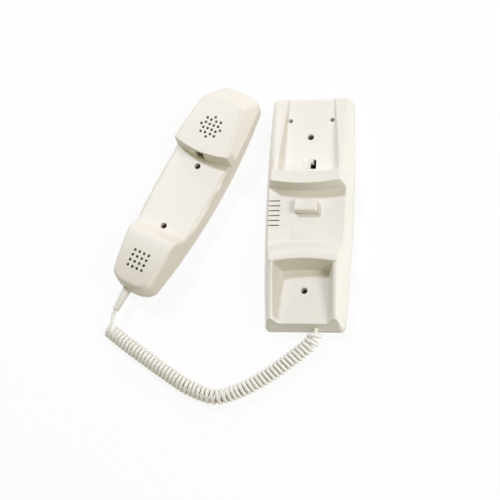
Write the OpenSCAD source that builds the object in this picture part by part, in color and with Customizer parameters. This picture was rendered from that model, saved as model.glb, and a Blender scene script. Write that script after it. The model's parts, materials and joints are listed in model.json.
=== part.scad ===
// Wall intercom: a cradle, and its handset laid beside it on a curly cord.
// The cradle lies on its back: X is its width, Y runs to its ear end and Z comes out of the wall.
// Sizes are in millimetres, and the middle of the cradle's back face is the origin.

/* [Cradle] */
// Length of the cradle
base_len = 215; // [205:1:230]
// Width of the cradle at its widest place
base_w = 77.8; // [75:0.1:84]
// Widest place, from the middle towards the ear end
base_wide_y = 21; // [10:1:30]
// How far each side has bowed in, 100 mm from the widest place
base_bow = 3; // [2:0.25:4]
// Inward lean of the outer walls, for each millimetre of height
base_lean = 0.25; // [0.2:0.01:0.27]
// Wall of the cradle cover
base_wall = 2.2; // [1.8:0.1:2.6]
// Corner radius at the ear end
ear_corner = 7; // [5:0.5:10]
// Corner radius at the mouth end
mouth_corner = 5; // [3:0.5:8]
// Thickness of the back plate
plate_t = 3; // [2.4:0.1:3.4]
// How far the back plate stands in from the cover
plate_inset = 0.6; // [0.3:0.1:1.2]

/* [Cradle levels] */
// Height of both recess floors
floor_z = 12.4; // [12:0.1:14]
// Height of the middle panel
panel_z = 22; // [21:0.5:25]
// Height of the ear ridge
ear_ridge_z = 38; // [34:0.5:42]
// Height of the mouth ridge
mouth_ridge_z = 35; // [32:0.5:39]
// Height of the side rails where they meet the ear ridge
ear_rail_z = 22.5; // [20:0.5:26]
// Height of the mouth recess's side rails at the mouth end
mouth_rail_z = 22.5; // [20:0.5:25]

/* [Recesses] */
// Floor width of the ear recess
ear_floor_w = 40; // [36:0.5:42]
// Floor width of the mouth recess
mouth_floor_w = 38; // [34:0.5:40]
// Width between the tops of the mouth recess's side rails
mouth_rim_w = 50.4; // [48:0.1:52]
// Outward lean of the ear recess's walls, for each millimetre of height
recess_lean = 0.42; // [0.36:0.01:0.55]
// Front face of the ear ridge, from the middle of the cradle
ear_ridge_y = 12; // [11:0.1:16]
// Thickness of the ear ridge at its top
ear_ridge_t = 10.8; // [10:0.1:13]
// Radius that the ear ridge is curved to, seen from the front
ear_arc = 146; // [100:1:220]
// Radius of the hollow behind the ear ridge, down to the floor
ear_fillet = 13.5; // [12:0.5:15]
// Top edge of the mouth recess's end wall, from the middle of the cradle
mouth_wall_y = -53.1; // [-56:0.1:-50]
// How far that wall leans on its way down to the floor
mouth_wall_run = 6; // [3:0.5:8]
// Length of the mouth ridge along the cradle, slope included
mouth_ridge_run = 19; // [16:0.5:22]
// Radius that the mouth ridge is curved to, seen from the front
mouth_arc = 140; // [100:1:220]

/* [Fixings] */
// Cover screw in the ear recess, from the middle of the cradle
ear_screw_y = 66.3; // [60:0.1:72]
// Cover screw in the mouth recess, from the middle of the cradle
mouth_screw_y = -75.3; // [-80:0.1:-70]
// Spacing of the two wall screw holes in the ear recess
wall_hole_pitch = 36.8; // [32:0.2:38]
// Place of the wall screw holes along the cradle
wall_hole_y = 82.6; // [76:0.1:88]
// Diameter of the wall screw holes
wall_hole_d = 4; // [3.2:0.1:4.6]
// Spacing of the wall box holes in the back plate
box_hole_pitch = 60.3; // [58:0.1:61]
// Diameter of the wall box holes
box_hole_d = 4.2; // [3.2:0.1:5]
// Head diameter of the cover and handset screws
screw_head_d = 5; // [4.4:0.1:5.6]
// Shank diameter of the cover and handset screws
screw_d = 2.9; // [2.5:0.1:3.2]

/* [Door button] */
// Width of the door button
button_w = 18.6; // [16:0.1:20]
// Length of the door button along the cradle
button_l = 11.2; // [8:0.1:12]
// How far the button stands above the panel
button_proud = 7.5; // [4:0.1:8]
// Place of the button along the cradle
button_y = -3.5; // [-4.5:0.1:-2.5]
// Travel of the button
button_travel = 2.5; // [1.5:0.1:2.6]

/* [Hook] */
// Width of the opening for the hook lever
lever_gap_w = 5.4; // [5:0.1:6]
// Middle of that opening across the cradle
lever_gap_x = 2.9; // [2.6:0.1:3.4]
// Pivot of the hook lever, behind the foot of the ear ridge
lever_set_back = 0.8; // [0.5:0.1:1.2]
// Reach of the hook lever's tip from its pivot
lever_reach = 16.3; // [15:0.1:17]
// Height of the hook lever's pivot
lever_z = 8.8; // [8.6:0.1:9]
// How far the lever's tip stands above the floor
lever_proud = 3.2; // [2:0.1:4]
// Height of the hook tab
tab_z = 30.5; // [28:0.1:31]
// How far the hook tab reaches out of the ridge
tab_reach = 10; // [8:0.1:12]

/* [Sounder] */
// Diameter of the sounder
sounder_d = 15.6; // [13:0.1:16]
// Number of sound slots
slot_count = 6; // [4:1:6]
// Spacing of the sound slots
slot_pitch = 4.45; // [4:0.05:4.8]
// Width of a sound slot
slot_w = 1.1; // [0.8:0.1:1.4]
// Inner end of the sound slots, left of the middle
slot_in_x = 22.8; // [21:0.1:25]

/* [Handset] */
// Length of the handset
set_len = 206.4; // [198:0.1:214]
// Width of the handset at its widest place
set_w = 58.8; // [56:0.1:61]
// Widest place, from the middle towards the ear end
set_wide_y = 7; // [4:0.1:12]
// How far each side has bowed in, 100 mm from the widest place
set_bow = 9; // [8:0.05:10]
// Wall of the handset shells
set_wall = 2.2; // [1.8:0.1:2.6]
// Height of the joint between the two shells
set_joint_z = 12; // [11:0.1:13]
// Height of the grip
grip_z = 24; // [23:0.1:27]
// Height of the ear pad's lower edge above the grip
ear_rise = 15.3; // [14:0.1:17]
// Tilt of the ear pad, rising to its far edge
ear_tilt = 5; // [0:0.5:6]
// Height of the mouth pad above the grip
mouth_rise = 12.5; // [10:0.1:13]
// Lower edge of the ear pad, from the ear end
ear_step_in = 75.3; // [74:0.1:77]
// Radius that this edge is curved to, seen from the front
ear_step_arc = 85; // [70:1:150]
// Far edge of the ear pad, from the ear end
ear_pad_in = 18; // [17:0.1:20]
// Start of the slope up to the mouth pad, from the mouth end
mouth_slope_in = 58.8; // [57:0.1:60]
// Length of that slope along the handset
mouth_slope_run = 10; // [8:0.1:12]
// Centre of the ear holes, from the ear end
ear_hole_in = 50.3; // [49:0.1:52]
// Centre of the mouth holes, from the mouth end
mouth_hole_in = 24.2; // [22:0.1:26]
// Diameter of the ear and mouth holes
sound_hole_d = 2.4; // [1.6:0.1:2.6]
// Spacing of the mouth holes
mouth_pitch = 4.6; // [4:0.1:4.8]
// Diameter of the receiver
receiver_d = 36; // [34:0.1:36.4]
// Diameter of the microphone
mic_d = 9.7; // [8:0.1:10.4]
// Upper screw of the handset, from the ear end
set_screw_top_in = 82.7; // [81:0.1:85]
// Lower screw of the handset, from the mouth end
set_screw_low_in = 62.7; // [62.4:0.1:66]
// Width of the hook slot in the ear block
hook_slot_w = 8.2; // [7.8:0.1:9]
// Height of the hook slot
hook_slot_h = 11; // [9:0.1:11.4]

/* [Cord] */
// Diameter of the cord
cord_d = 3; // [2.6:0.1:3.1]
// Outer diameter of the curls
curl_od = 13; // [11.5:0.1:13.2]
// Number of curls
curls = 55; // [40:1:56]
// Length of the sleeve outside the handset
sleeve_l = 20; // [14:0.5:24]
// Diameter of the sleeve at the handset
sleeve_d = 7.9; // [7:0.1:8.2]

/* [Hidden] */

// Facets of round exact shapes, and of balls inside hulls
$fn = 64;
ball_fn = 24;
// Thickness of the slices that hulls are drawn through
skin = 0.01;
// Reach of cutters past the faces that they cut
past = 1;
// Half size of cutters that span everything
wide = base_len;
// Clearances: sliding, seated and running fits
slide_gap = 0.3;
seat_gap = 0.1;
run_gap = 0.06;
// Colours
ivory = [0.93, 0.89, 0.78];
pale = [0.7, 0.68, 0.6];
dark = [0.22, 0.21, 0.19];
steel = [0.72, 0.72, 0.7];
brass = [0.78, 0.66, 0.36];
board_green = [0.15, 0.36, 0.22];
rubber = [0.16, 0.16, 0.17];

// Cradle, derived
base_top = base_len / 2;
base_end = -base_len / 2;
// Height at which the leaning envelope of the cradle ends
base_h = max(ear_ridge_z, mouth_ridge_z) + 2;
// Rail roundings at the ear end and at the ear ridge
rail_r_end = 5;
rail_r_ear = 8;
// How far the rails stand inside the walls of the middle
rail_inset = 0.15;
// Where the rails of the ear recess meet its ridge
rail_ear_y = ear_ridge_y + ear_ridge_t + 4;
// Lean of the ear ridge's back face on its way down to the hollow
ear_ridge_run = 3.3;
// Steepest angle of that hollow, and how deep its foot lies in the floor
fillet_turn = 61;
fillet_sink = 0.05;
// Bevel on the ridges' edges
ridge_bevel = 1.2;
// Half angle of the ridges' arcs
ridge_turn = 17;
floor_under = floor_z - base_wall;
panel_under = panel_z - base_wall;

// Board and what stands on it
board_z = plate_t + 2;
board_t = 1.6;
board_top = board_z + board_t;
board_w = box_hole_pitch - box_hole_d - 2.1;
board_y0 = -38;
board_y1 = 11;
board_hole_x = 23;
board_hole_y = [-33, 6];
board_screw_d = 2;
board_head_d = 4.4;
board_head_h = 1.6;
terminal_n = 5;
terminal_pitch = 5.08;
terminal_l = 9;
terminal_h = 8.5;
terminal_y = -31.5;
terminal_screw_d = 3;

// Screws that hold the cover
cover_boss_d = 9;
cover_head_z = 6.5;
cover_pillar_z = plate_t + 1.8;
screw_head_h = 2;
wall_boss_d = wall_hole_d + 3.5;

// Door button and its switch
button_flange = 2;
button_flange_rim = 2;
button_stem_d = 5;
button_peg_d = 2.6;
door_switch_w = 8.4;
door_switch_h = 5;
door_switch_top = board_top + door_switch_h;
button_top = panel_z + button_proud;
button_flange_z = panel_under - slide_gap / 2 - button_flange;
button_stem_z = door_switch_top + button_travel + 0.5;
button_peg_z = board_top + 0.6 + button_travel + slide_gap;
button_bevel = 0.8;
spring_wire = 0.6;

// Hook lever, its switch and its pin
lever_w = 2.4;
lever_t = 1.8;
lever_hub_d = 4.4;
lever_hub_w = 4.8;
// The arm runs under the floor beside the opening, where it is out of sight
lever_x = lever_gap_x - lever_gap_w / 2 - lever_w / 2 - slide_gap / 2;
lever_pin_d = 2;
lever_y = ear_ridge_y + ear_ridge_t + ear_ridge_run + lever_set_back;
lever_tip_y = lever_y + lever_reach;
lever_tip_l = 2.2;
lever_tip_w = 3;
hook_switch_l = 5.5;
hook_switch_y = ear_ridge_y + base_wall + 0.6;
lever_back_y = hook_switch_y + 1.1;
lever_gap_y0 = lever_tip_y - 7.4;
lever_gap_y1 = lever_tip_y + 1.5;
lever_lug_t = 2;
lever_lug_l = 4;
lever_spring_y = lever_y + 6.5;
lever_spring_d = 3.6;
lever_wire = 0.5;
lever_under = lever_z - lever_t / 2;
hook_switch_w = 13;
hook_switch_h = 7.4;
hook_switch_z = floor_under + 1.4;
hook_switch_slot = 6;
lever_peg = 1.6;
lever_peg_h = 3.3;

// Hook tab
tab_collar_w = 11;
tab_collar_t = 2.7;
tab_collar_h = 4.2;
tab_collar_gap = 0.5;
tab_plug_w = 8;
tab_plug_h = 2.8;
tab_nib_w = hook_slot_w - 1.8;
tab_nib_h = 3;
// Back face of the ear ridge at the tab's height
fillet_top_z = floor_z - fillet_sink + ear_fillet * (1 - cos(fillet_turn));
tab_face_y = ear_ridge_y + ear_ridge_t + ear_ridge_run * (ear_ridge_z - tab_z) / (ear_ridge_z - fillet_top_z);

// Sounder
sounder_y = button_y - 4.9;
sounder_h = 6.3;
sounder_cup_wall = 1.2;
// The cup stands between the button's flange and the cover's wall, clear of both
sounder_in_x = button_w / 2 + button_flange_rim + 2 * slide_gap;
sounder_out_x = base_half(sounder_y - sounder_d / 2) - base_lean * panel_z - base_wall - 2 * seat_gap;
sounder_fit_d = min(sounder_d, sounder_out_x - sounder_in_x - 2 * slide_gap - 2 * sounder_cup_wall);
sounder_cup_d = sounder_fit_d + 2 * slide_gap + 2 * sounder_cup_wall;
sounder_x = -sounder_in_x - sounder_cup_d / 2;
sounder_ring_h = 1;
sounder_top = panel_under - 2 * seat_gap;
slot_mid_y = sounder_y;

// Handset, derived
set_top = set_len / 2;
set_end = -set_len / 2;
ear_z = grip_z + ear_rise;
mouth_z = grip_z + mouth_rise;
ear_step_y = set_top - ear_step_in;
ear_pad_top = set_top - ear_pad_in;
ear_hole_y = set_top - ear_hole_in;
set_screw_top = set_top - set_screw_top_in;
set_screw_low = set_end + set_screw_low_in;
mouth_slope_y = set_end + mouth_slope_in;
mouth_hole_y = set_end + mouth_hole_in;
// Corners of the handset's outline: across and along
set_top_corner = [16.7, 11.9];
set_end_corner = [15.9, 9.8];
// Slices of the handset: height, inset of the sides, far end and near end
set_slices = [[0, 13, set_top - 14, set_end + 12],
              [3, 6.5, set_top - 6, set_end + 5],
              [7.5, 1.6, set_top - 1.5, set_end + 1],
              [set_joint_z, 0, set_top, set_end],
              [20, 0.9, set_top - 2, set_end + 0.6]];
// Pads: inset of the ear pad's sides, how far they bow in, its far corners, and the inset of the mouth pad
ear_pad_inset = 1.4;
ear_pad_bow = 16;
ear_pad_corner = [11, 7];
mouth_pad_inset = 2.6;
// Place of the handset beside the cradle, and its turn
set_x = -106.3;
set_y = 17.4;
set_turn = 25.1;
set_boss_d = 8;
set_post_d = 7.2;
set_head_z = grip_z - 6;
receiver_h = 7;
receiver_cup_wall = 1.6;
receiver_cup_h = 10;
gasket_t = 1.2;
mic_h = 6.7;
mic_boot_wall = 2.2;
mic_cup_wall = 1.6;
mic_cup_h = 8.5;
hook_slot_z = grip_z + 1.6;

// Cord, derived
curl_r = (curl_od - cord_d) / 2;
coil_z = curl_od / 2 + 0.2;
curl_rings = 8;
curl_sides = 6;
tail_sides = 8;
// Curls over which the last one runs in to the coil's middle line, and straight ones after it
curl_run_in = 0.5;
curl_lead = 0.25;
grommet_x = 9;
grommet_z = coil_z;
grommet_nose_y = base_end + base_lean * grommet_z - 0.6;
// Middle line of the coil on the table, from the handset's end to the cradle's end
coil_route = [[-168, -108.7], [-149, -122.2], [-130, -134.7], [-112, -146.2], [-94, -156.7], [-72, -163.7],
              [-53, -158.7], [-35, -149.2], [-18, -137.7], [-3, -125.7], [6, -117.7],
              [grommet_x, grommet_nose_y - 5], [grommet_x, grommet_nose_y]];
coil_steps = 16;
grommet_neck_d = 5.2;
grommet_flange_w = 12;
grommet_flange_t = 2;
sleeve_x = -5;
sleeve_z = 13;
sleeve_tip_d = 5.7;
sleeve_flange_d = 10;
sleeve_flange_t = 2;
sleeve_tip_y = set_end - sleeve_l;

// Half width of a bowed outline at a place along it
function bowed(y, w, bow, wide_y) = w / 2 - bow * pow((y - wide_y) / 100, 2);

// One side of a bowed outline with elliptical corners, from its near end to its far end
function outline_side(w, bow, wide_y, top, end, top_corner, end_corner, inset) =
    let (tx = max(top_corner.x - inset, 1), ty = max(top_corner.y - inset, 1),
         ex = max(end_corner.x - inset, 1), ey = max(end_corner.y - inset, 1),
         y0 = end + ey, y1 = top - ty,
         x0 = bowed(y0, w, bow, wide_y) - inset - ex,
         x1 = bowed(y1, w, bow, wide_y) - inset - tx,
         steps = 10)
    concat([for (i = [0 : 5]) [x0 + ex * sin(i * 18), y0 - ey * cos(i * 18)]],
           [for (i = [1 : steps - 1]) let (y = y0 + (y1 - y0) * i / steps)
               [bowed(y, w, bow, wide_y) - inset, y]],
           [for (i = [0 : 5]) [x1 + tx * cos(i * 18), y1 + ty * sin(i * 18)]]);

// Both sides of an outline, as one closed list
function both_sides(side) = concat(side, [for (i = [len(side) - 1 : -1 : 0]) [-side[i].x, side[i].y]]);

function base_half(y) = bowed(y, base_w, base_bow, base_wide_y);

// Outline of the cradle between two places, inset all round
function base_outline(inset, top, end) =
    both_sides(outline_side(base_w, base_bow, base_wide_y, top - inset, end + inset,
                            [ear_corner, ear_corner], [mouth_corner, mouth_corner], inset));

// Outline of the handset at one of its slices
function set_outline(inset, top, end) =
    both_sides(outline_side(set_w, set_bow, set_wide_y, top, end, set_top_corner, set_end_corner, inset));

// Outlines of the ear pad and of the mouth pad, inset by a wall for the hollow
function ear_pad_outline(inset) =
    both_sides(outline_side(set_w, ear_pad_bow, set_wide_y, ear_pad_top - inset, ear_step_y - ear_rise,
                            ear_pad_corner, [1, 1], ear_pad_inset + inset));
function mouth_pad_outline(inset) =
    both_sides(outline_side(set_w, set_bow, set_wide_y, mouth_slope_y, set_end + mouth_pad_inset + inset,
                            [1, 1], set_end_corner, mouth_pad_inset + inset));

// Section of a recess above its floor, for a lean of its walls
function recess_section(floor_w, lean) =
    let (rise = base_h - floor_z)
    [[-floor_w / 2, floor_z], [floor_w / 2, floor_z],
     [floor_w / 2 + lean * rise, base_h], [-floor_w / 2 - lean * rise, base_h]];

// Thin slice of an outline at a height
module slice(points, z) {
    translate([0, 0, z]) linear_extrude(skin) polygon(points);
}

// Prism along Y with a section in X and Z
module along_y(y0, y1) {
    translate([0, y1, 0]) rotate([90, 0, 0]) linear_extrude(y1 - y0) children();
}

// Prism along X with a section in Y and Z
module along_x(x0, x1) {
    translate([x0, 0, 0]) rotate([90, 0, 90]) linear_extrude(x1 - x0) children();
}

// Round bar along X
module bar_x(d, x0, x1) {
    translate([x0, 0, 0]) rotate([0, 90, 0]) cylinder(d = d, h = x1 - x0);
}

// Round bar along Y
module bar_y(d, y0, y1) {
    translate([0, y1, 0]) rotate([90, 0, 0]) cylinder(d = d, h = y1 - y0);
}

// Ring section turned about a far upright axis, towards the direction given
module arc_bar(centre_y, direction) {
    translate([0, centre_y, 0]) rotate([0, 0, direction - ridge_turn])
        rotate_extrude(angle = 2 * ridge_turn, $fn = 360) children();
}

// Leaning envelope of the cradle's walls
module base_envelope(inset) {
    hull() {
        slice(base_outline(inset, base_top, base_end), 0);
        slice(base_outline(inset + base_lean * base_h, base_top, base_end), base_h);
    }
}

// Ball that rounds a rail's shoulder, just inside the leaning outer wall
module rail_ball(y, z, r) {
    x = base_half(y) - rail_inset - base_lean * (z - r) - r * sqrt(1 + base_lean * base_lean);
    for (side = [-1, 1])
        translate([side * x, y, z - r]) sphere(r, $fn = ball_fn);
}

// Ear end of the cradle, with its rails rising to the ridge
module ear_block() {
    end_y = base_top - base_lean * floor_z - rail_r_end - rail_inset;
    hull() {
        slice(base_outline(rail_inset, base_top, ear_ridge_y), 0);
        rail_ball(rail_ear_y, ear_rail_z, rail_r_ear);
        rail_ball((rail_ear_y + end_y) / 2, (ear_rail_z + floor_z) / 2, (rail_r_ear + rail_r_end) / 2);
        rail_ball(end_y, floor_z, rail_r_end);
    }
}

// Mouth end of the cradle, with its rails falling from the ridge to the end
module mouth_block() {
    intersection() {
        base_envelope(rail_inset);
        along_x(-base_w, base_w)
            polygon([[base_end - past, 0], [mouth_wall_y + past, 0],
                     [mouth_wall_y + past, mouth_ridge_z - 2 * rail_inset],
                     [mouth_wall_y, mouth_ridge_z - 2 * rail_inset], [base_end - past, mouth_rail_z]]);
    }
}

// Channel of the ear recess, from its floor up
module ear_recess() {
    along_y(ear_ridge_y, base_top + past) polygon(recess_section(ear_floor_w, recess_lean));
}

// Channel of the mouth recess, whose walls lean further out as the rails fall
module mouth_recess() {
    hull() for (end = [[mouth_wall_y, mouth_ridge_z], [base_end - past, mouth_rail_z]])
        along_y(end[0] - skin, end[0])
            polygon(recess_section(mouth_floor_w, (mouth_rim_w - mouth_floor_w) / 2 / (end[1] - floor_z)));
}

// Ear ridge, curved round the ear recess, with a hollow curve behind it; inset by a wall for its own hollow
module ear_ridge(inset, z0) {
    top = ear_ridge_z - inset;
    front = ear_arc - inset;
    back = ear_arc - ear_ridge_t;
    toe = back - ear_ridge_run - ear_fillet * sin(fillet_turn);
    r = ear_fillet + inset;
    steps = 8;
    arc_bar(ear_ridge_y + ear_arc, -90)
        polygon(concat([[toe, z0], [front, z0], [front, top - ridge_bevel], [front - ridge_bevel, top],
                        [back + inset, top]],
                       [for (i = [0 : steps]) let (turn = fillet_turn * (1 - i / steps))
                           [toe + r * sin(turn), floor_z - fillet_sink + ear_fillet - r * cos(turn)]]));
}

// Mouth ridge, curved round the mouth recess; inset by a wall for its hollow
module mouth_ridge(inset, z0) {
    top = mouth_ridge_z - inset;
    wall = mouth_arc + inset;
    slope_top = mouth_arc + mouth_ridge_run * 0.55 - inset * 0.6;
    arc_bar(mouth_wall_y - mouth_arc, 90)
        polygon([[wall - mouth_wall_run, z0], [wall - mouth_wall_run, floor_under - inset],
                 [wall, top - ridge_bevel], [wall + ridge_bevel, top], [slope_top - 4, top - 0.4],
                 [slope_top, top - 3],
                 [mouth_arc + mouth_ridge_run - inset, panel_z - inset],
                 [mouth_arc + mouth_ridge_run - inset, z0]]);
}

// Outside of the cover, before it is hollowed
module cover_form() {
    difference() {
        ear_block();
        ear_recess();
    }
    difference() {
        mouth_block();
        mouth_recess();
    }
    intersection() {
        base_envelope(0);
        translate([-wide, mouth_wall_y, 0])
            cube([2 * wide, ear_ridge_y + ear_ridge_t - mouth_wall_y, panel_z]);
    }
    intersection() {
        base_envelope(0);
        ear_ridge(0, 0);
    }
    intersection() {
        base_envelope(0);
        mouth_ridge(0, 0);
    }
}

// Hollow of the cover: under the floors and the panel, and up into both ridges
module cover_hollow() {
    half = base_w / 2 - base_bow - base_lean * base_h - base_wall;
    intersection() {
        base_envelope(base_wall * sqrt(1 + base_lean * base_lean));
        union() {
            translate([-wide, -wide, -past]) cube([2 * wide, 2 * wide, floor_under + past]);
            translate([-wide, mouth_wall_y + base_wall, -past])
                cube([2 * wide, ear_ridge_y + base_wall - mouth_wall_y, panel_under + past]);
        }
    }
    intersection() {
        translate([-half, -wide, 0]) cube([2 * half, 2 * wide, base_h]);
        ear_ridge(base_wall, -past);
    }
    intersection() {
        translate([-half, -wide, 0]) cube([2 * half, 2 * wide, base_h]);
        mouth_ridge(base_wall, -past);
    }
}

// Bosses, lugs and the sounder's cup inside the cover
module cover_ribs() {
    for (y = [ear_screw_y, mouth_screw_y])
        translate([0, y, cover_pillar_z + seat_gap])
            cylinder(d = cover_boss_d, h = floor_z - cover_pillar_z - seat_gap);
    for (side = [-1, 1])
        translate([side * wall_hole_pitch / 2, wall_hole_y, plate_t + seat_gap])
            cylinder(d = wall_boss_d, h = floor_under - plate_t);
    intersection() {
        ear_ridge(base_wall / 2, 0);
        for (side = [-1, 1])
            translate([lever_x + side * (lever_hub_w + lever_lug_t + slide_gap) / 2 - lever_lug_t / 2,
                       lever_y - lever_lug_l / 2, lever_z - lever_pin_d])
                cube([lever_lug_t, lever_lug_l, ear_ridge_z]);
    }
    cup_h = sounder_h + 2 * sounder_ring_h;
    translate([sounder_x, sounder_y, panel_under + seat_gap - cup_h]) difference() {
        cylinder(d = sounder_cup_d, h = cup_h);
        translate([0, 0, -past])
            cylinder(d = sounder_cup_d - 2 * sounder_cup_wall, h = cup_h + past - seat_gap);
    }
}

// Holes and slots through the cover
module cover_cuts() {
    for (y = [ear_screw_y, mouth_screw_y])
        translate([0, y, 0]) {
            cylinder(d = screw_d + 2 * slide_gap, h = floor_z);
            translate([0, 0, cover_head_z]) cylinder(d = screw_head_d + 2 * slide_gap, h = floor_z);
        }
    for (side = [-1, 1])
        translate([side * wall_hole_pitch / 2, wall_hole_y, 0]) cylinder(d = wall_hole_d, h = base_h);
    translate([-button_w / 2 - slide_gap, button_y - button_l / 2 - slide_gap, panel_under - past])
        cube([button_w + 2 * slide_gap, button_l + 2 * slide_gap, base_wall + 2 * past]);
    for (i = [0 : slot_count - 1])
        translate([-base_w / 2, slot_mid_y + (i - (slot_count - 1) / 2) * slot_pitch - slot_w / 2,
                   panel_under - past])
            cube([base_w / 2 - slot_in_x, slot_w, base_wall + 2 * past]);
    translate([lever_gap_x - lever_gap_w / 2, lever_gap_y0, floor_under - past])
        cube([lever_gap_w, lever_gap_y1 - lever_gap_y0, base_wall + 3 * past]);
    translate([0, lever_y, lever_z])
        bar_x(lever_pin_d + seat_gap / 2, lever_x - lever_hub_w, lever_x + lever_hub_w);
    translate([-tab_plug_w / 2 - seat_gap, tab_face_y - 2 * base_wall, tab_z - tab_plug_h / 2 - seat_gap])
        cube([tab_plug_w + 2 * seat_gap, 3 * base_wall, tab_plug_h + 2 * seat_gap]);
    translate([grommet_x, 0, grommet_z])
        bar_y(grommet_neck_d + 2 * seat_gap, base_end - past, base_end + 4 * base_wall);
    translate([-wide, -wide, -2 * base_h]) cube([2 * wide, 2 * wide, 2 * base_h + plate_t]);
}

module base_cover() {
    color(ivory) difference() {
        union() {
            difference() {
                cover_form();
                cover_hollow();
            }
            cover_ribs();
        }
        cover_cuts();
    }
}

// Back plate, with pillars for the cover screws and the board, and posts for the hook switch
module wall_plate() {
    cable_w = 24;
    cable_l = 12;
    cable_y = (board_y0 + mouth_screw_y) / 2;
    color(pale) difference() {
        union() {
            linear_extrude(plate_t) polygon(base_outline(plate_inset, base_top, base_end));
            for (y = [ear_screw_y, mouth_screw_y])
                translate([0, y, 0]) cylinder(d = cover_boss_d - 1, h = cover_pillar_z);
            for (side = [-1, 1], y = board_hole_y)
                translate([side * board_hole_x, y, 0]) cylinder(d = 3 * board_screw_d, h = board_z);
            for (side = [-1, 1])
                translate([lever_x + side * (hook_switch_w / 2 - 1.8) - 1.8, hook_switch_y, 0])
                    cube([3.6, hook_switch_l, hook_switch_z]);
        }
        for (y = [ear_screw_y, mouth_screw_y])
            translate([0, y, plate_t / 4]) cylinder(d = screw_d + seat_gap, h = base_h);
        for (side = [-1, 1], y = board_hole_y)
            translate([side * board_hole_x, y, plate_t / 4])
                cylinder(d = board_screw_d + seat_gap, h = base_h);
        for (side = [-1, 1]) {
            translate([side * wall_hole_pitch / 2, wall_hole_y, -past])
                cylinder(d = wall_hole_d, h = plate_t + 2 * past);
            translate([side * box_hole_pitch / 2, button_y, -past])
                cylinder(d = box_hole_d, h = plate_t + 2 * past);
            translate([side * cable_w / 4, cable_y, -past]) cylinder(d = cable_l, h = plate_t + 2 * past);
        }
        translate([-cable_w / 4, cable_y - cable_l / 2, -past])
            cube([cable_w / 2, cable_l, plate_t + 2 * past]);
    }
}

// Screw with a round head and a cross slot; its head sits at z = 0
module screw(d, head_d, head_h, length) {
    slot = head_d / 5;
    difference() {
        union() {
            cylinder(d = head_d, h = head_h);
            translate([0, 0, -length]) cylinder(d = d, h = length + skin);
        }
        for (turn = [0, 90])
            translate([0, 0, head_h]) rotate([0, 0, turn]) cube([head_d * 0.7, slot, head_h], center = true);
    }
}

module cover_screws() {
    color(steel) for (y = [ear_screw_y, mouth_screw_y])
        translate([0, y, cover_head_z])
            screw(screw_d, screw_head_d, screw_head_h, cover_head_z - plate_t / 2);
}

// Hook tab: a plug through the ridge's back wall, a collar, and the nib that enters the handset's slot
module hook_tab() {
    collar_y = tab_face_y + tab_collar_gap;
    color(ivory) {
        translate([-tab_plug_w / 2, tab_face_y - base_wall - 1, tab_z - tab_plug_h / 2])
            cube([tab_plug_w, base_wall + 1 + tab_collar_gap + skin, tab_plug_h]);
        translate([-tab_collar_w / 2, collar_y, tab_z - tab_collar_h / 2])
            cube([tab_collar_w, tab_collar_t, tab_collar_h]);
        along_x(-tab_nib_w / 2, tab_nib_w / 2)
            polygon([[collar_y, tab_z - tab_nib_h / 2], [tab_face_y + tab_reach, tab_z - tab_nib_h / 2],
                     [tab_face_y + tab_reach, tab_z + tab_nib_h / 4],
                     [tab_face_y + tab_reach - 1, tab_z + tab_nib_h / 2],
                     [collar_y, tab_z + tab_nib_h / 2]]);
    }
}

module circuit_board() {
    color(board_green) difference() {
        translate([-board_w / 2, board_y0, board_z]) cube([board_w, board_y1 - board_y0, board_t]);
        for (side = [-1, 1], y = board_hole_y)
            translate([side * board_hole_x, y, 0]) cylinder(d = board_screw_d + 2 * slide_gap, h = base_h);
    }
}

module board_screws() {
    color(steel) for (side = [-1, 1], y = board_hole_y)
        translate([side * board_hole_x, y, board_top])
            screw(board_screw_d, board_head_d, board_head_h, board_top - plate_t / 2);
}

// Places of the terminals across the block
function terminal_x(i) = (i - (terminal_n - 1) / 2) * terminal_pitch;

module terminal_block() {
    color(board_green) difference() {
        translate([-terminal_n * terminal_pitch / 2, terminal_y - terminal_l / 2, board_top])
            cube([terminal_n * terminal_pitch, terminal_l, terminal_h]);
        for (i = [0 : terminal_n - 1]) {
            translate([terminal_x(i), terminal_y, board_top + terminal_h / 2])
                cylinder(d = terminal_screw_d + 2 * seat_gap, h = terminal_h);
            translate([terminal_x(i), 0, board_top + terminal_h / 4])
                bar_y(terminal_h / 3, terminal_y - terminal_l, terminal_y);
        }
    }
}

module terminal_screws() {
    color(steel) for (i = [0 : terminal_n - 1])
        translate([terminal_x(i), terminal_y, board_top + terminal_h / 2]) difference() {
            cylinder(d = terminal_screw_d, h = terminal_h / 2 - 0.8);
            translate([0, 0, terminal_h / 2])
                cube([2 * terminal_screw_d, 0.6, terminal_h / 3], center = true);
        }
}

// Sounder: a shallow can with a sound hole towards the panel and a stepped back
module sounder() {
    color(dark) translate([sounder_x, sounder_y, sounder_top - sounder_h]) rotate_extrude()
        polygon([[0, 0], [sounder_fit_d / 2, 0], [sounder_fit_d / 2, sounder_h - 0.6],
                 [sounder_fit_d / 2 - 0.6, sounder_h], [1.5, sounder_h], [1.5, sounder_h - 1.5],
                 [0, sounder_h - 1.5]]);
}

// Clip ring that holds the sounder in its cup
module sounder_ring() {
    color(steel) translate([sounder_x, sounder_y, sounder_top - sounder_h - sounder_ring_h - seat_gap])
        difference() {
            cylinder(d = sounder_fit_d + 2 * slide_gap - seat_gap, h = sounder_ring_h);
            translate([0, 0, -past]) cylinder(d = sounder_fit_d - 4, h = sounder_ring_h + 2 * past);
        }
}

// Hook switch on its posts, with a slot that the lever's back arm works in
module hook_switch() {
    color(dark) difference() {
        translate([lever_x - hook_switch_w / 2, hook_switch_y, hook_switch_z])
            cube([hook_switch_w, hook_switch_l, hook_switch_h]);
        translate([lever_x - lever_w / 2 - slide_gap, hook_switch_y - past, hook_switch_z - past])
            cube([lever_w + 2 * slide_gap, hook_switch_l + 2 * past, hook_switch_slot + past]);
    }
}

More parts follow.
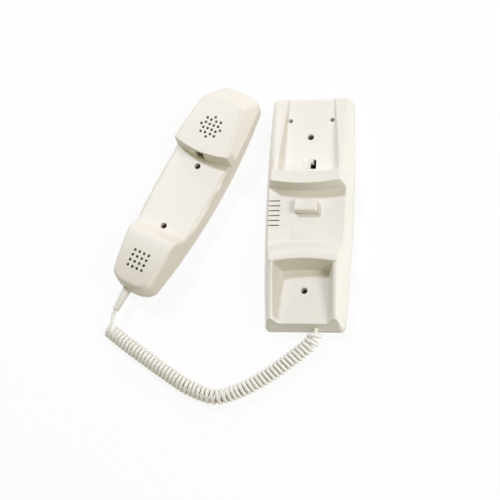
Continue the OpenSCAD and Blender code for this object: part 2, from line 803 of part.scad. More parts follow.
// Door switch on the board, with a bore for the button's peg
module door_switch() {
    color(dark) translate([0, button_y, board_top]) difference() {
        translate([-door_switch_w / 2, -door_switch_w / 2, 0])
            cube([door_switch_w, door_switch_w, door_switch_h]);
        translate([0, 0, 0.6]) cylinder(d = button_peg_d + 2 * slide_gap, h = door_switch_h);
    }
}

// Door button: cap, retaining flange, stem and peg
module door_button() {
    half = button_l / 2;
    color(ivory) translate([0, button_y, 0]) {
        along_x(-button_w / 2, button_w / 2)
            polygon([[-half, button_flange_z], [half, button_flange_z], [half, button_top - button_bevel],
                     [half - button_bevel, button_top], [button_bevel - half, button_top],
                     [-half, button_top - button_bevel]]);
        translate([-button_w / 2 - button_flange_rim, -half - button_flange_rim, button_flange_z])
            cube([button_w + 2 * button_flange_rim, button_l + 2 * button_flange_rim, button_flange]);
        translate([0, 0, button_stem_z])
            cylinder(d = button_stem_d, h = button_flange_z - button_stem_z + skin);
        translate([0, 0, button_peg_z]) cylinder(d = button_peg_d, h = button_flange_z - button_peg_z);
    }
}

module lever_pin() {
    color(steel) translate([0, lever_y, lever_z])
        bar_x(lever_pin_d, lever_x - lever_hub_w / 2 - lever_lug_t, lever_x + lever_hub_w / 2 + lever_lug_t);
}

// Hook lever: hub, front arm with its tip, back arm with its peg
module hook_lever() {
    tip_x = lever_gap_x - lever_gap_w / 2 + slide_gap - lever_x;
    color(ivory) translate([lever_x, 0, 0]) difference() {
        union() {
            translate([0, lever_y, lever_z])
                bar_x(lever_hub_d, -lever_hub_w / 2 + slide_gap, lever_hub_w / 2 - slide_gap);
            translate([-lever_w / 2, lever_back_y, lever_under])
                cube([lever_w, lever_tip_y - lever_back_y, lever_t]);
            along_x(tip_x, tip_x + lever_tip_w)
                polygon([[lever_tip_y - lever_tip_l, lever_under], [lever_tip_y, lever_under],
                         [lever_tip_y, floor_z + lever_proud - 1], [lever_tip_y - 1, floor_z + lever_proud],
                         [lever_tip_y - lever_tip_l, floor_z + lever_proud]]);
            translate([-lever_w / 2, lever_tip_y - lever_tip_l, lever_under])
                cube([tip_x + lever_tip_w + lever_w / 2, lever_tip_l, lever_t]);
            translate([-lever_peg / 2, lever_back_y + 0.6, lever_under])
                cube([lever_peg, lever_peg, lever_t + lever_peg_h]);
        }
        translate([0, lever_y, lever_z]) bar_x(lever_pin_d + 2 * run_gap, -lever_hub_w, lever_hub_w);
    }
}

// Grommet in the mouth end of the cradle: inner flange, neck through the wall and a nose for the cord
module cord_grommet() {
    flange_y = base_end + base_wall + base_lean * floor_under + 0.8;
    color(rubber) translate([grommet_x, 0, grommet_z]) {
        translate([-grommet_flange_w / 2, flange_y, plate_t + slide_gap - grommet_z])
            cube([grommet_flange_w, grommet_flange_t, floor_under - plate_t - 2 * slide_gap]);
        bar_y(grommet_neck_d, grommet_nose_y, flange_y + skin);
    }
}

// Everything of the handset is drawn in the handset's own frame and laid in its place
module lay_handset() {
    translate([set_x, set_y, 0]) rotate([0, 0, -set_turn]) children();
}

// Space above the grip, between the ear pad and the mouth pad, deepened by a wall for the hollow
module grip_cut(inset) {
    shift = inset * (sqrt(2) - 1);
    far = (ear_pad_top + ear_step_y) / 2;
    over = ear_z + ear_rise;
    difference() {
        along_x(-set_w, set_w)
            polygon([[far, grip_z - inset], [mouth_slope_y - shift, grip_z - inset],
                     [mouth_slope_y - mouth_slope_run - shift, mouth_z - inset],
                     [set_end - past, mouth_z - inset], [set_end - past, over], [far, over]]);
        translate([0, ear_step_y + ear_step_arc, -past])
            cylinder(r = ear_step_arc - inset, h = over + 2 * past, $fn = 240);
    }
}

// Frame of the ear pad: its height is the pad's own surface
module tilt_ear() {
    translate([0, ear_step_y, ear_z]) rotate([ear_tilt, 0, 0]) translate([0, -ear_step_y, 0]) children();
}

// Outside of the handset, or its hollow when inset by a wall
module set_form(inset) {
    last = len(set_slices) - 1;
    difference() {
        hull() {
            for (i = [0 : last])
                let (s = set_slices[i], z = i == 0 ? inset : s[0] + inset * (last - 1 - i) / (last + 1))
                    slice(set_outline(s[1] + inset, s[2] - inset, s[3] + inset), z);
            tilt_ear() slice(ear_pad_outline(inset), -inset);
            slice(mouth_pad_outline(inset), mouth_z - inset);
        }
        grip_cut(inset);
        tilt_ear() translate([-set_w, ear_step_y - ear_rise, -inset]) cube([2 * set_w, set_len, ear_rise]);
    }
}

// Half space above or below the joint of the shells
module set_half(upper) {
    translate([-set_len, -set_len, upper ? set_joint_z : -set_len])
        cube([2 * set_len, 2 * set_len, set_len]);
}

// Hole that both shells leave for the cord's sleeve
module sleeve_hole() {
    translate([sleeve_x, 0, sleeve_z]) bar_y(sleeve_d + 2 * seat_gap, set_end - past, set_end + 4 * set_wall);
}

// Ear holes: 4, 8 and 8 on three circles
module ear_holes() {
    rings = [[4, 2.9, 45], [8, 6.6, 22.5], [8, 9.5, 0]];
    for (ring = rings, i = [0 : ring[0] - 1])
        rotate([0, 0, ring[2] + i * 360 / ring[0]]) translate([ring[1], 0, 0])
            cylinder(d = sound_hole_d, h = ear_rise, $fn = 24);
}

// Mouth holes in a square of four by four
module mouth_holes() {
    for (i = [-1.5 : 1.5], j = [-1.5 : 1.5])
        translate([i * mouth_pitch, j * mouth_pitch, 0]) cylinder(d = sound_hole_d, h = ear_rise, $fn = 24);
}

// Cup that stands in from a pad and holds a capsule
module capsule_cup(d, wall, h, top) {
    translate([0, 0, top - h]) difference() {
        cylinder(d = d + 2 * wall, h = h + seat_gap);
        translate([0, 0, -past]) cylinder(d = d, h = h + past - skin);
    }
}

module handset_face() {
    receiver_cup_d = receiver_d + 2 * slide_gap;
    mic_cup_d = mic_d + 2 * mic_boot_wall + 2 * slide_gap;
    color(ivory) lay_handset() difference() {
        union() {
            difference() {
                intersection() {
                    set_form(0);
                    set_half(true);
                }
                set_form(set_wall);
            }
            tilt_ear() translate([0, ear_hole_y, 0])
                capsule_cup(receiver_cup_d, receiver_cup_wall, receiver_cup_h, -set_wall);
            translate([0, mouth_hole_y, 0])
                capsule_cup(mic_cup_d, mic_cup_wall, mic_cup_h, mouth_z - set_wall);
            for (y = [set_screw_top, set_screw_low])
                translate([0, y, set_joint_z + seat_gap])
                    cylinder(d = set_boss_d, h = grip_z - set_wall / 2 - set_joint_z);
        }
        for (y = [set_screw_top, set_screw_low])
            translate([0, y, 0]) {
                cylinder(d = screw_d + 2 * slide_gap, h = grip_z);
                translate([0, 0, set_head_z]) cylinder(d = screw_head_d + 2 * slide_gap, h = grip_z);
            }
        tilt_ear() translate([0, ear_hole_y, -set_wall - past]) ear_holes();
        translate([0, mouth_hole_y, mouth_z - set_wall - past]) mouth_holes();
        translate([-hook_slot_w / 2, ear_step_y - past, hook_slot_z])
            cube([hook_slot_w, set_wall + 2 * past, hook_slot_h]);
        sleeve_hole();
    }
}

module handset_back() {
    color(ivory) lay_handset() difference() {
        union() {
            difference() {
                set_form(0);
                set_form(set_wall);
                set_half(true);
            }
            for (y = [set_screw_top, set_screw_low])
                translate([0, y, set_wall / 2]) cylinder(d = set_post_d, h = set_joint_z - set_wall / 2);
        }
        for (y = [set_screw_top, set_screw_low])
            translate([0, y, 2 * set_wall]) cylinder(d = screw_d + seat_gap, h = set_joint_z);
        sleeve_hole();
    }
}

module handset_screws() {
    color(steel) lay_handset() for (y = [set_screw_top, set_screw_low])
        translate([0, y, set_head_z]) screw(screw_d, screw_head_d, screw_head_h, set_head_z - 2.5 * set_wall);
}

// Receiver: a stepped can, its face towards the ear holes
module receiver() {
    r = receiver_d / 2;
    top = -set_wall - gasket_t - 2 * seat_gap;
    color(dark) lay_handset() tilt_ear() translate([0, ear_hole_y, top - receiver_h]) rotate_extrude()
        polygon([[0, -3], [r * 0.5, -3], [r * 0.5, 0], [r, 0], [r, receiver_h], [r - 3, receiver_h],
                 [r - 4, receiver_h - 0.8], [0, receiver_h - 0.8]]);
}

module receiver_gasket() {
    low = -set_wall - gasket_t - seat_gap;
    color(rubber) lay_handset() tilt_ear() translate([0, ear_hole_y, low]) difference() {
        cylinder(d = receiver_d - 0.4, h = gasket_t);
        translate([0, 0, -past]) cylinder(d = receiver_d - 10, h = gasket_t + 2 * past);
    }
}

module microphone() {
    color(steel) lay_handset() translate([0, mouth_hole_y, mouth_z - set_wall - 2 * seat_gap - mic_h])
        difference() {
            cylinder(d = mic_d, h = mic_h);
            translate([0, 0, mic_h - 0.6]) cylinder(d = 2, h = 1);
        }
}

module microphone_boot() {
    color(rubber) lay_handset() translate([0, mouth_hole_y, mouth_z - set_wall - seat_gap - mic_h - 1])
        difference() {
            cylinder(d = mic_d + 2 * mic_boot_wall, h = mic_h + 1);
            translate([0, 0, -past]) cylinder(d = mic_d + seat_gap, h = mic_h + 2 + past);
        }
}

// Sleeve of the cord: an inner flange held by the shells and a tapered run outside
module cord_sleeve() {
    flange_y = set_end + set_wall + 2.5;
    color(ivory) lay_handset() translate([sleeve_x, 0, sleeve_z]) rotate([90, 0, 0]) {
        translate([0, 0, -flange_y - sleeve_flange_t]) cylinder(d = sleeve_flange_d, h = sleeve_flange_t);
        translate([0, 0, -flange_y - skin]) cylinder(d = sleeve_d, h = flange_y - set_end + skin);
        translate([0, 0, -set_end]) cylinder(d1 = sleeve_d, d2 = sleeve_tip_d, h = sleeve_l);
    }
}

// Place of a point of the handset after it is laid beside the cradle
function laid(p) = [set_x + p.x * cos(set_turn) + p.y * sin(set_turn),
                    set_y - p.x * sin(set_turn) + p.y * cos(set_turn), p.z];

function unit(v) = v / norm(v);

// Smooth curve through a list of points: a place between points i and i + 1
function between(p, i, t) =
    let (a = p[max(i - 1, 0)], b = p[i], c = p[i + 1], d = p[min(i + 2, len(p) - 1)])
    0.5 * (2 * b + (c - a) * t + (2 * a - 5 * b + 4 * c - d) * t * t + (3 * b - a - 3 * c + d) * t * t * t);

function smooth(p, steps) =
    concat([for (i = [0 : len(p) - 2], k = [0 : steps - 1]) between(p, i, k / steps)], [p[len(p) - 1]]);

// Direction of a list of points at one of them
function heading(p, i) = unit(p[min(i + 1, len(p) - 1)] - p[max(i - 1, 0)]);

// Tube swept along points, with the upward direction given at each
module tube(points, ups, d, sides) {
    n = len(points);
    rings = [for (i = [0 : n - 1])
        let (t = heading(points, i), side = unit(cross(t, ups[i])), up = cross(side, t))
        [for (k = [0 : sides - 1]) let (turn = k * 360 / sides)
            points[i] + d / 2 * (up * cos(turn) + side * sin(turn))]];
    vertices = [for (ring = rings) each ring];
    walls = [for (i = [0 : n - 2], k = [0 : sides - 1])
        let (a = i * sides + k, b = i * sides + (k + 1) % sides)
        each [[a, b, a + sides], [b, b + sides, a + sides]]];
    end = (n - 1) * sides;
    caps = [for (k = [1 : sides - 2]) each [[0, k + 1, k], [end, end + k, end + k + 1]]];
    polyhedron(vertices, concat(walls, caps));
}

// The coil's middle line as a table of places against the length of its inner side
coil_line = smooth(coil_route, coil_steps);
function coil_step(i) = coil_line[i + 1] - coil_line[i];
function coil_bend(i) = i == 0 ? 0 : abs(cross(unit(coil_step(i - 1)), unit(coil_step(i))));
coil_len = [for (i = 0, s = 0; i < len(coil_line);
                 s = s + (i + 1 < len(coil_line) ? norm(coil_step(i)) - curl_r * coil_bend(i) : 0),
                 i = i + 1) s];
coil_x = [for (i = [0 : len(coil_line) - 1]) [coil_len[i], coil_line[i].x]];
coil_y = [for (i = [0 : len(coil_line) - 1]) [coil_len[i], coil_line[i].y]];
coil_total = coil_len[len(coil_len) - 1];

function coil_place(s) = [lookup(s, coil_x), lookup(s, coil_y)];
function coil_heading(s) = unit(coil_place(min(s + 1, coil_total)) - coil_place(max(s - 1, 0)));

// Direction out of the coil's middle line at an angle of its curls
function curl_out(s, turn) =
    let (t = coil_heading(s)) [sin(turn) * t.y, -sin(turn) * t.x, cos(turn)];

// Radius of the curls, running in to nothing at the end
function curl_radius(k) =
    let (left = (curls - k / curl_rings - curl_lead) / curl_run_in, q = max(0, min(1, left)))
    curl_r * q * q * (3 - 2 * q);

function curl_point(k) =
    let (s = coil_total * k / (curls * curl_rings), p = coil_place(s))
    [p.x, p.y, coil_z] + curl_radius(k) * curl_out(s, k * 360 / curl_rings);

curl_count = curls * curl_rings;
curl_points = [for (k = [0 : curl_count]) curl_point(k)];
curl_ups = [for (k = [0 : curl_count]) curl_out(coil_total * k / curl_count, k * 360 / curl_rings)];

// The first curl starts in a straight run that meets the tail
curl_dir = unit(curl_points[1] - curl_points[0]);
cord_meet = curl_points[0] - cord_d * curl_dir;
coil_points = concat([cord_meet], curl_points);
coil_ups = concat([curl_ups[0]], curl_ups);

// Tail from the sleeve's tip to the coil
sleeve_tip = laid([sleeve_x, sleeve_tip_y, sleeve_z]);
sleeve_dir = laid([0, -1, 0]) - laid([0, 0, 0]);
tail_route = [sleeve_tip, sleeve_tip + cord_d * sleeve_dir, cord_meet - cord_d * curl_dir, cord_meet];
tail_points = concat([tail_route[0]], [for (k = [0 : 6]) between(tail_route, 1, k / 6)], [tail_route[3]]);

// Least gap between neighbouring curls, and length of the whole cord, measured along its middle line
curl_full = floor((curls - curl_lead - curl_run_in) * curl_rings);
curl_gap = min([for (i = [0 : curl_full], j = [i + curl_rings / 2 + 1 : min(i + 3 * curl_rings, curl_count)])
                norm(curl_points[i] - curl_points[j])]) - cord_d;
function path_len(p, i = 0, s = 0) = i + 1 < len(p) ? path_len(p, i + 1, s + norm(p[i + 1] - p[i])) : s;
cord_length = path_len(coil_points) + path_len(tail_points);
echo(curl_gap = curl_gap, coil_inner_length = coil_total, cord_length = cord_length);

module cord_tail() {
    color(ivory) tube(tail_points, [for (p = tail_points) [0, 0, 1]], cord_d, tail_sides);
}

module curly_cord() {
    color(ivory) tube(coil_points, coil_ups, cord_d, curl_sides);
}

// Compression spring standing on z = 0
module coil_spring(d, wire, h, turns) {
    rings = turns * curl_rings;
    r = (d - wire) / 2;
    points = [for (k = [0 : rings])
        [r * cos(k * 360 / curl_rings), r * sin(k * 360 / curl_rings), wire / 2 + (h - wire) * k / rings]];
    outs = [for (k = [0 : rings]) [cos(k * 360 / curl_rings), sin(k * 360 / curl_rings), 0]];
    tube(points, outs, wire, curl_sides);
}

module button_spring() {
    color(steel) translate([0, button_y, door_switch_top + seat_gap])
        coil_spring(button_stem_d + 2.4, spring_wire, button_flange_z - door_switch_top - 2 * seat_gap, 4);
}

module lever_spring() {
    color(steel) translate([lever_x, lever_spring_y, plate_t + seat_gap])
        coil_spring(lever_spring_d, lever_wire, lever_under - plate_t - 2 * seat_gap, 4);
}

wall_plate();
base_cover();
cover_screws();
hook_tab();
circuit_board();
board_screws();
terminal_block();
terminal_screws();
sounder();
sounder_ring();
hook_switch();
door_switch();
lever_pin();
cord_grommet();
door_button();
button_spring();
hook_lever();
lever_spring();
handset_face();
handset_back();
handset_screws();
receiver();
receiver_gasket();
microphone();
microphone_boot();
cord_sleeve();
cord_tail();
curly_cord();
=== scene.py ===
"""Wall intercom: the look of its cradle, its handset and its curly cord."""
import json

import bmesh
import bpy
import numpy as np
from mathutils import Matrix, Vector


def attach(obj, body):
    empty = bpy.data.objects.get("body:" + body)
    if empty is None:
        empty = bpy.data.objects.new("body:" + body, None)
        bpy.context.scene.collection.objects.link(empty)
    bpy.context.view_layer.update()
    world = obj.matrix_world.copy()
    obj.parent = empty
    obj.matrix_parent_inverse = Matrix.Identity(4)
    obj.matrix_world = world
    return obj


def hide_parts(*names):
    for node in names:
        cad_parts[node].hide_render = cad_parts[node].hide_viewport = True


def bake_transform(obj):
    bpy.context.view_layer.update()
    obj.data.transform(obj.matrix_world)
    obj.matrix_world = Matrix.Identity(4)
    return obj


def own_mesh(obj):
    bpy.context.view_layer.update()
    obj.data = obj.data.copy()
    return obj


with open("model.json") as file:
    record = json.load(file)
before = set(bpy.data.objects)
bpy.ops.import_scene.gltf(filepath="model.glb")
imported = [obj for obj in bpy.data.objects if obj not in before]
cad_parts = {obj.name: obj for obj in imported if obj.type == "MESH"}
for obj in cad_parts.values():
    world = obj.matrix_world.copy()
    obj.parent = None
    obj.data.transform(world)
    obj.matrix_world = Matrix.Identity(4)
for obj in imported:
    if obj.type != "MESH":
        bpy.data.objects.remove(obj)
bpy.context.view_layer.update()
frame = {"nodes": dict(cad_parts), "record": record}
scene = bpy.context.scene
MM = 0.001

# Camera in the part's frame, for a square picture
CAMERA_PLACE = np.array([109.4, -299.8, 775.9])
CAMERA_BACK = np.array([0.192, -0.318, 0.928])
CAMERA_RIGHT = np.array([0.981, 0.056, -0.184])
CAMERA_LENS = 69.3
CAMERA_SENSOR = 36
CAMERA_NEAR = 10

# Cradle in plan: widest a little towards the ear end, with its taper given at TAPER_RUN from there
TAPER_RUN = 100
BASE_END = 107.5
BASE_HALF = 38.9
BASE_WIDEST = 21
BASE_TAPER = 3.0
EAR_CORNER = 7.0
MOUTH_CORNER = 5.0

# Cradle heights above its back face, and its walls
PLATE_TOP = 3.0
FLOOR = 12.4
MOUTH_FLOOR = 15.8
PANEL = 22.0
MOUTH_RAIL = 22.5
MOUTH_RIDGE = 35.0
EAR_RIDGE = 38.0
BASE_WALL = 2.2
BASE_SLOPE = 4.0
LEANING_WALL = BASE_WALL * 1.03

# Ridges: their arch in plan, and where their faces lie along the cradle
EAR_ARC = 146.0
EAR_RIDGE_FRONT = 11.65
EAR_RECESS_START = 18.3
EAR_RIDGE_BACK = 26.1
EAR_FRONT_SLOPE = 20
EAR_BACK_SLOPE = 5.7
EAR_FILLET = 13.5
EAR_FILLET_ANGLE = 61
EAR_FILLET_FALL = 0.5
MOUTH_ARC = 140.0
MOUTH_RIDGE_FRONT = -34.1
MOUTH_RECESS_START = -44
MOUTH_RIDGE_MIDDLE = -50
MOUTH_RIDGE_BACK = -57.0
MOUTH_FRONT_SLOPE = 1.16
MOUTH_BACK_SLOPE = 5.0
BASE_BOW = ((-97, -65, -31, -13, 7, 38, 84),
            (0, -0.5 / MOUTH_ARC, -0.5 / MOUTH_ARC, 0, 0.5 / EAR_ARC, 0.5 / EAR_ARC, 0))

# Rails beside the two recesses; each pair holds places along the cradle and the values there
EAR_RAIL_HEIGHT = ((24, 44, 75, 102, 107), (22.3, 21.5, 17.8, 14.0, 12.8))
EAR_RAIL_EDGE = ((24, 90, 98), (8.0, 6.5, 5.0))
EAR_RAIL_LEAN = 0.42
EAR_FLOOR_HALF = ((40, 95), (22.3, 20.4))
MOUTH_RAIL_TOP = ((-BASE_END, -53.1), (MOUTH_RAIL, MOUTH_RIDGE - 0.2))
MOUTH_RAIL_WIDTH = 4.8
MOUTH_FLOOR_HALF = 20.4

# Edge radii of the cradle, and widths over which its faces meet; the last pair has places across it
FLOOR_EDGE = 5.0
PANEL_EDGE = 1.6
EAR_RIDGE_EDGE = 2.2
MOUTH_RIDGE_EDGE = 2.0
FLOOR_BLEND = 2.4
EAR_RAIL_BLEND = 1.6
MOUTH_RAIL_BLEND = 1.4
MOUTH_END_BLEND = 0.7
EAR_FACES_BLEND = 2.0
EAR_TOP_BLEND = 2.4
MOUTH_FRONT_BLEND = 5.0
MOUTH_BACK_BLEND = 3.0
RIDGE_SIDE_BLEND = 1.2
RIDGE_FOOT_BLEND = 1.0
EAR_FOOT_BLEND = ((20, 25), (0.6, 5.0))

# Inside of the cradle cover, under the ridges
HOLLOW_PANEL_END = 14
HOLLOW_EAR_FRONT = 14.5
HOLLOW_EAR_WALL = 2.4
HOLLOW_MOUTH_SHIFT = 3.4
HOLLOW_MOUTH_WALL = 2.8
HOLLOW_MOUTH_BACK = -56.1
HOLLOW_BACK_SLOPE = 3.7

# Holes and openings of the cradle cover: places, radii, heights, and corners of boxes
COVER_SCREWS = ((0, 66.3), (0, -75.3))
COVER_SCREW_BOSS = 4.5
COVER_SCREW_HOLE = 1.75
COVER_SCREW_HEAD = 2.8
COVER_SCREW_FOOT = 5.0
COVER_SCREW_SEAT = 6.5
COVER_SCREW_HOLE_TOP = 7
WALL_SCREWS = ((-18.4, 82.6), (18.4, 82.6))
WALL_SCREW_BOSS = 3.75
WALL_SCREW_HOLE = 2.0
WALL_SCREW_FOOT = 3.2
BOSS_TOP = 11.3
HOLE_LOW = 2
HOLE_HIGH = 20
BUTTON_OPENING = ((-9.6, -9.4, 17), (9.6, 2.4, 30))
LEVER_OPENING = ((0.2, 35.8, 8), (5.6, 44.7, 16))
HOOK_NOTCH = ((-4.1, 19.6, 29), (4.1, 26.8, 32))
SLOT_COUNT = 6
SLOT_FIRST = -19.5
SLOT_PITCH = 4.45
SLOT_HALF = 0.55
SLOT_ACROSS = (-45, -22.8)
SLOT_HEIGHTS = (19.2, 26)
GROMMET_HOLE = 2.7
GROMMET_HOLE_REACH = (100, 110)
LABEL_PLACE = ((-12, -32, PANEL - 0.4), (11, -13, PANEL + 0.12))
LABEL_EDGE = 0.1

# Handset in plan, in its own frame before it is laid beside the cradle
SET_END = 103.2
SET_HALF = 29.4
SET_WIDEST = 7
SET_TAPER = 9.0
SET_TOP_CORNER = (16.7, 11.9)
SET_END_CORNER = (15.9, 9.8)
SET_INSET = 0.1
SET_PLACE = (-106.3, 17.4, 0.0)
SET_TURN = -25.1

# Handset heights, walls and slopes
SET_WALL = 2.2
SET_JOINT = 12.0
JOINT_GAP = 0.12
BACK_CURVE = 13.0
GRIP = 24.0
EAR_PAD = 39.3
EAR_TILT = 0.0875
EAR_STEP = 27.9
STEP_SLOPE = 16
STEP_ARC = 85.0
STEP_BOW = ((-30, 18, 42, 86), (0, 0.5 / STEP_ARC, 0.5 / STEP_ARC, 0))
MOUTH_PAD = 36.5
MOUTH_CROWN = 0.0028
MOUTH_CROWN_START = -58
MOUTH_RISE_FOOT = -44.4
MOUTH_RISE_SLOPE = 1.25
MOUTH_RISE_SHIFT = 0.6
EAR_END_FOOT = 2.0
EAR_END_STEEP = 4.0
EAR_END_SLANT = 1.17
MOUTH_END_SLOPE = 8.0
SIDE_SLOPE = ((20, 32, 50, 74, 88), (8.0, 12.0, 9.5, 6.5, 6.0))

# Edge radii of the handset, and widths over which its faces run into one another
SIDE_EDGE = ((-60, -45, 20, EAR_STEP, 50), (2.6, 4.0, 4.5, 2.6, 2.6))
MOUTH_END_EDGE = 3.0
EAR_PAD_BLEND = 2.0
MOUTH_PAD_BLEND = 3.0
STEP_FOOT_BLEND = 1.6
RISE_FOOT_BLEND = 4.0
EAR_END_BLEND = 2.6
NEAR_END_BLEND = 0.5

# Holes and openings of the handset; a ring of holes has a count, a radius and a first angle
EAR_HOLES_MIDDLE = 52.8
EAR_HOLE_RINGS = ((4, 2.9, 45.0), (8, 6.6, 22.5), (8, 9.5, 0.0))
EAR_HOLE_HEIGHTS = (34, 47)
MOUTH_HOLES_MIDDLE = -79.0
MOUTH_HOLE_ROWS = 4
MOUTH_HOLE_PITCH = 4.6
MOUTH_HOLE_HEIGHTS = (30, 42)
SOUND_HOLE = 1.32
SOUND_HOLE_SIDES = 20
SET_SCREWS = ((0, 20.5), (0, -40.5))
SET_SCREW_BOSS = 4.6
SET_SCREW_HOLE = 1.7
SET_SCREW_HEAD = 2.8
SET_BOSS_HEIGHTS = (16.2, 22.6)
SET_HEAD_HEIGHTS = (18, 30)
SET_HOLE_HEIGHTS = (14, 19)
HOOK_SLOT = ((-4.1, 24, 25.6), (4.1, 33, 36.6))
SLEEVE_X = -5
SLEEVE_Z = 13
SLEEVE_LENGTH = 20
SLEEVE_HOLE = 4.05
SLEEVE_HOLE_REACH = (90, 110)

# Cord: its solid's diameter, and the one shown, with which the curls all but touch
CORD = 3.0
CORD_LOOK = 3.3
CURLS = 55
CURL_RADIUS = 5.0
CURL_RINGS = 20
COIL_Z = 6.7
LEAD_CURLS = 0.75
LEAD_PULL = 9.0
JOIN_STEPS = 12
ROUTE_STEPS = 16
ROUTE = [(-168, -108.7), (-149, -122.2), (-130, -134.7), (-112, -146.2), (-94, -156.7), (-72, -163.7),
         (-53, -158.7), (-35, -149.2), (-18, -137.7), (-3, -125.7), (6, -117.7), (9, -111.4), (9, -106.4)]

# Angles at edges, in degrees: crisp ones are shaded so, sharp ones rounded, flatter ones dissolved
CRISP_SHELL = 44
CRISP_PIECE = 50
CRISP_TUBE = 60
SHARP_EDGE = 35
FLAT_EDGE = 2

# Finish of the moulded pieces
PATCH_SCALE = 16.0
PATCH_CONTRAST = 1.6
PATCH_OFFSET = 0.3
GRAIN_SCALE = 900.0
SPECK_SCALE = 3.1
SPECK_SHARE = 0.3
GRAIN_DEPTH = 0.0002
GLOSS_RANGE = 0.10
REFRACTION = 1.5

# Stage and light
WHITE = (1, 1, 1, 1)
FLOOR_COLOUR = (0.97, 0.97, 0.97, 1)
FLOOR_WHITE = 0.9
FLOOR_SIZE = 4
FLOOR_DROP = 0.0004
WORLD_LEVEL = 0.21
WORLD_COLOUR = (1.0, 0.96, 0.45, 1)
LAMP_AIM = (-0.04, -0.02, 0)
LAMP_DISTANCE = 1.6

# Distances, in metres, under which vertices are joined
CAD_WELD = 1e-6
CORD_WELD = 1e-7


# Numbers and curves

def soft_min(a, b, k):
    """The lower of two heights, rounded where they are less than k apart."""
    h = np.clip(0.5 + 0.5 * (b - a) / k, 0, 1)
    return b + (a - b) * h - k * h * (1 - h)


def soft_max(a, b, k):
    return -soft_min(-a, -b, k)


def shoulder(inset, top, radius, slope):
    """Height of a leaning wall that turns over into a flat top with a round edge."""
    lean = np.sqrt(1 + slope * slope)
    middle = (lean * radius + top - radius) / slope
    start = middle - radius * slope / lean
    arc = top - radius + np.sqrt(np.maximum(radius ** 2 - (inset - middle) ** 2, 0))
    return np.where(inset < start, slope * inset, np.where(inset < middle, arc, top))


def corner_inset(a, b, radius):
    """Distance from a corner's outline, with a and b the distances from its two sides."""
    p = radius - a
    q = radius - b
    return radius - np.hypot(np.maximum(p, 0), np.maximum(q, 0)) - np.minimum(np.maximum(p, q), 0)


def stations(*spans):
    """Places along an axis from spans of start, end and number of steps."""
    parts = [np.linspace(start, end, count, endpoint=False) for start, end, count in spans]
    return np.concatenate(parts + [[spans[-1][1]]])


def mirrored(half):
    """Places on both sides of zero, from the ones on the positive side."""
    return np.concatenate([-half[::-1], half[half > 0]])


def unit(v):
    return v / np.linalg.norm(v)


def between(p, i, t):
    """Place a share t of the way from point i to the next, on a smooth curve through all points."""
    a, b = p[max(i - 1, 0)], p[i]
    c, d = p[i + 1], p[min(i + 2, len(p) - 1)]
    square = 2 * a - 5 * b + 4 * c - d
    cube = 3 * b - a - 3 * c + d
    return 0.5 * (2 * b + (c - a) * t + square * t ** 2 + cube * t ** 3)


def smooth_line(p, steps):
    points = [between(p, i, k / steps) for i in range(len(p) - 1) for k in range(steps)]
    return np.array(points + [p[-1]])


def laid_matrix():
    """From the handset's own frame to its place beside the cradle."""
    turn = Matrix.Rotation(np.radians(SET_TURN), 4, "Z")
    return Matrix.Translation(Vector(SET_PLACE)) @ turn


# Meshes

def keep(bm, name, material, scale=MM):
    """The mesh, scaled to metres, becomes a smooth-shaded piece at the origin."""
    bmesh.ops.scale(bm, vec=(scale, scale, scale), verts=bm.verts)
    mesh = bpy.data.meshes.new(name)
    for face in bm.faces:
        face.smooth = True
    bm.to_mesh(mesh)
    bm.free()
    piece = bpy.data.objects.new(name, mesh)
    scene.collection.objects.link(piece)
    mesh.materials.append(material)
    return piece


def crisp_edges(piece, degrees):
    """Edges sharper than this are shaded crisp."""
    piece.data.set_sharp_from_angle(angle=np.radians(degrees))


def grid_sheet(bm, points):
    """A grid whose vertices go to an array of places, columns first."""
    columns, rows = points.shape[:2]
    made = bmesh.ops.create_grid(bm, x_segments=columns - 1, y_segments=rows - 1, size=1)["verts"]
    for vertex in made:
        i = round((vertex.co.x + 1) / 2 * (columns - 1))
        j = round((vertex.co.y + 1) / 2 * (rows - 1))
        vertex.co = points[i, j]


def shell(outer, inner):
    """A closed shell from an outer and an inner sheet, joined at their rims."""
    bm = bmesh.new()
    grid_sheet(bm, outer)
    grid_sheet(bm, inner)
    rims = [edge for edge in bm.edges if edge.is_boundary]
    bmesh.ops.bridge_loops(bm, edges=rims)
    bmesh.ops.recalc_face_normals(bm, faces=bm.faces)
    return bm


def add_box(bm, low, high, round_by=0.0):
    """A box between two corners, with its edges rounded if a width is given."""
    made = bmesh.ops.create_cube(bm, size=1)["verts"]
    low, high = Vector(low), Vector(high)
    bmesh.ops.scale(bm, vec=high - low, verts=made)
    bmesh.ops.translate(bm, vec=(low + high) / 2, verts=made)
    if round_by:
        edges = list({edge for vertex in made for edge in vertex.link_edges})
        bmesh.ops.bevel(bm, geom=edges, offset=round_by, offset_type="OFFSET", segments=2, profile=0.5,
                        affect="EDGES", material=-1)


def add_rod(bm, middle, radius, low, high, turn=None, sides=32):
    """A rod from low to high along Z, turned about zero if a turn is given, then moved to its middle."""
    made = bmesh.ops.create_cone(bm, cap_ends=True, segments=sides, radius1=radius, radius2=radius,
                                 depth=high - low)["verts"]
    bmesh.ops.translate(bm, vec=(0, 0, (low + high) / 2), verts=made)
    if turn is not None:
        bmesh.ops.rotate(bm, matrix=turn, verts=made)
    bmesh.ops.translate(bm, vec=middle, verts=made)


def add_rods(bm, places, radius, low, high, sides=32):
    """Upright rods at places across and along."""
    for x, y in places:
        add_rod(bm, (x, y, 0), radius, low, high, sides=sides)


def add_end_rod(bm, x, z, radius, low, high):
    """A rod along the piece, between two distances from its middle towards the mouth end."""
    along_y = Matrix.Rotation(np.radians(90), 3, "X")
    add_rod(bm, (x, 0, z), radius, low, high, turn=along_y)


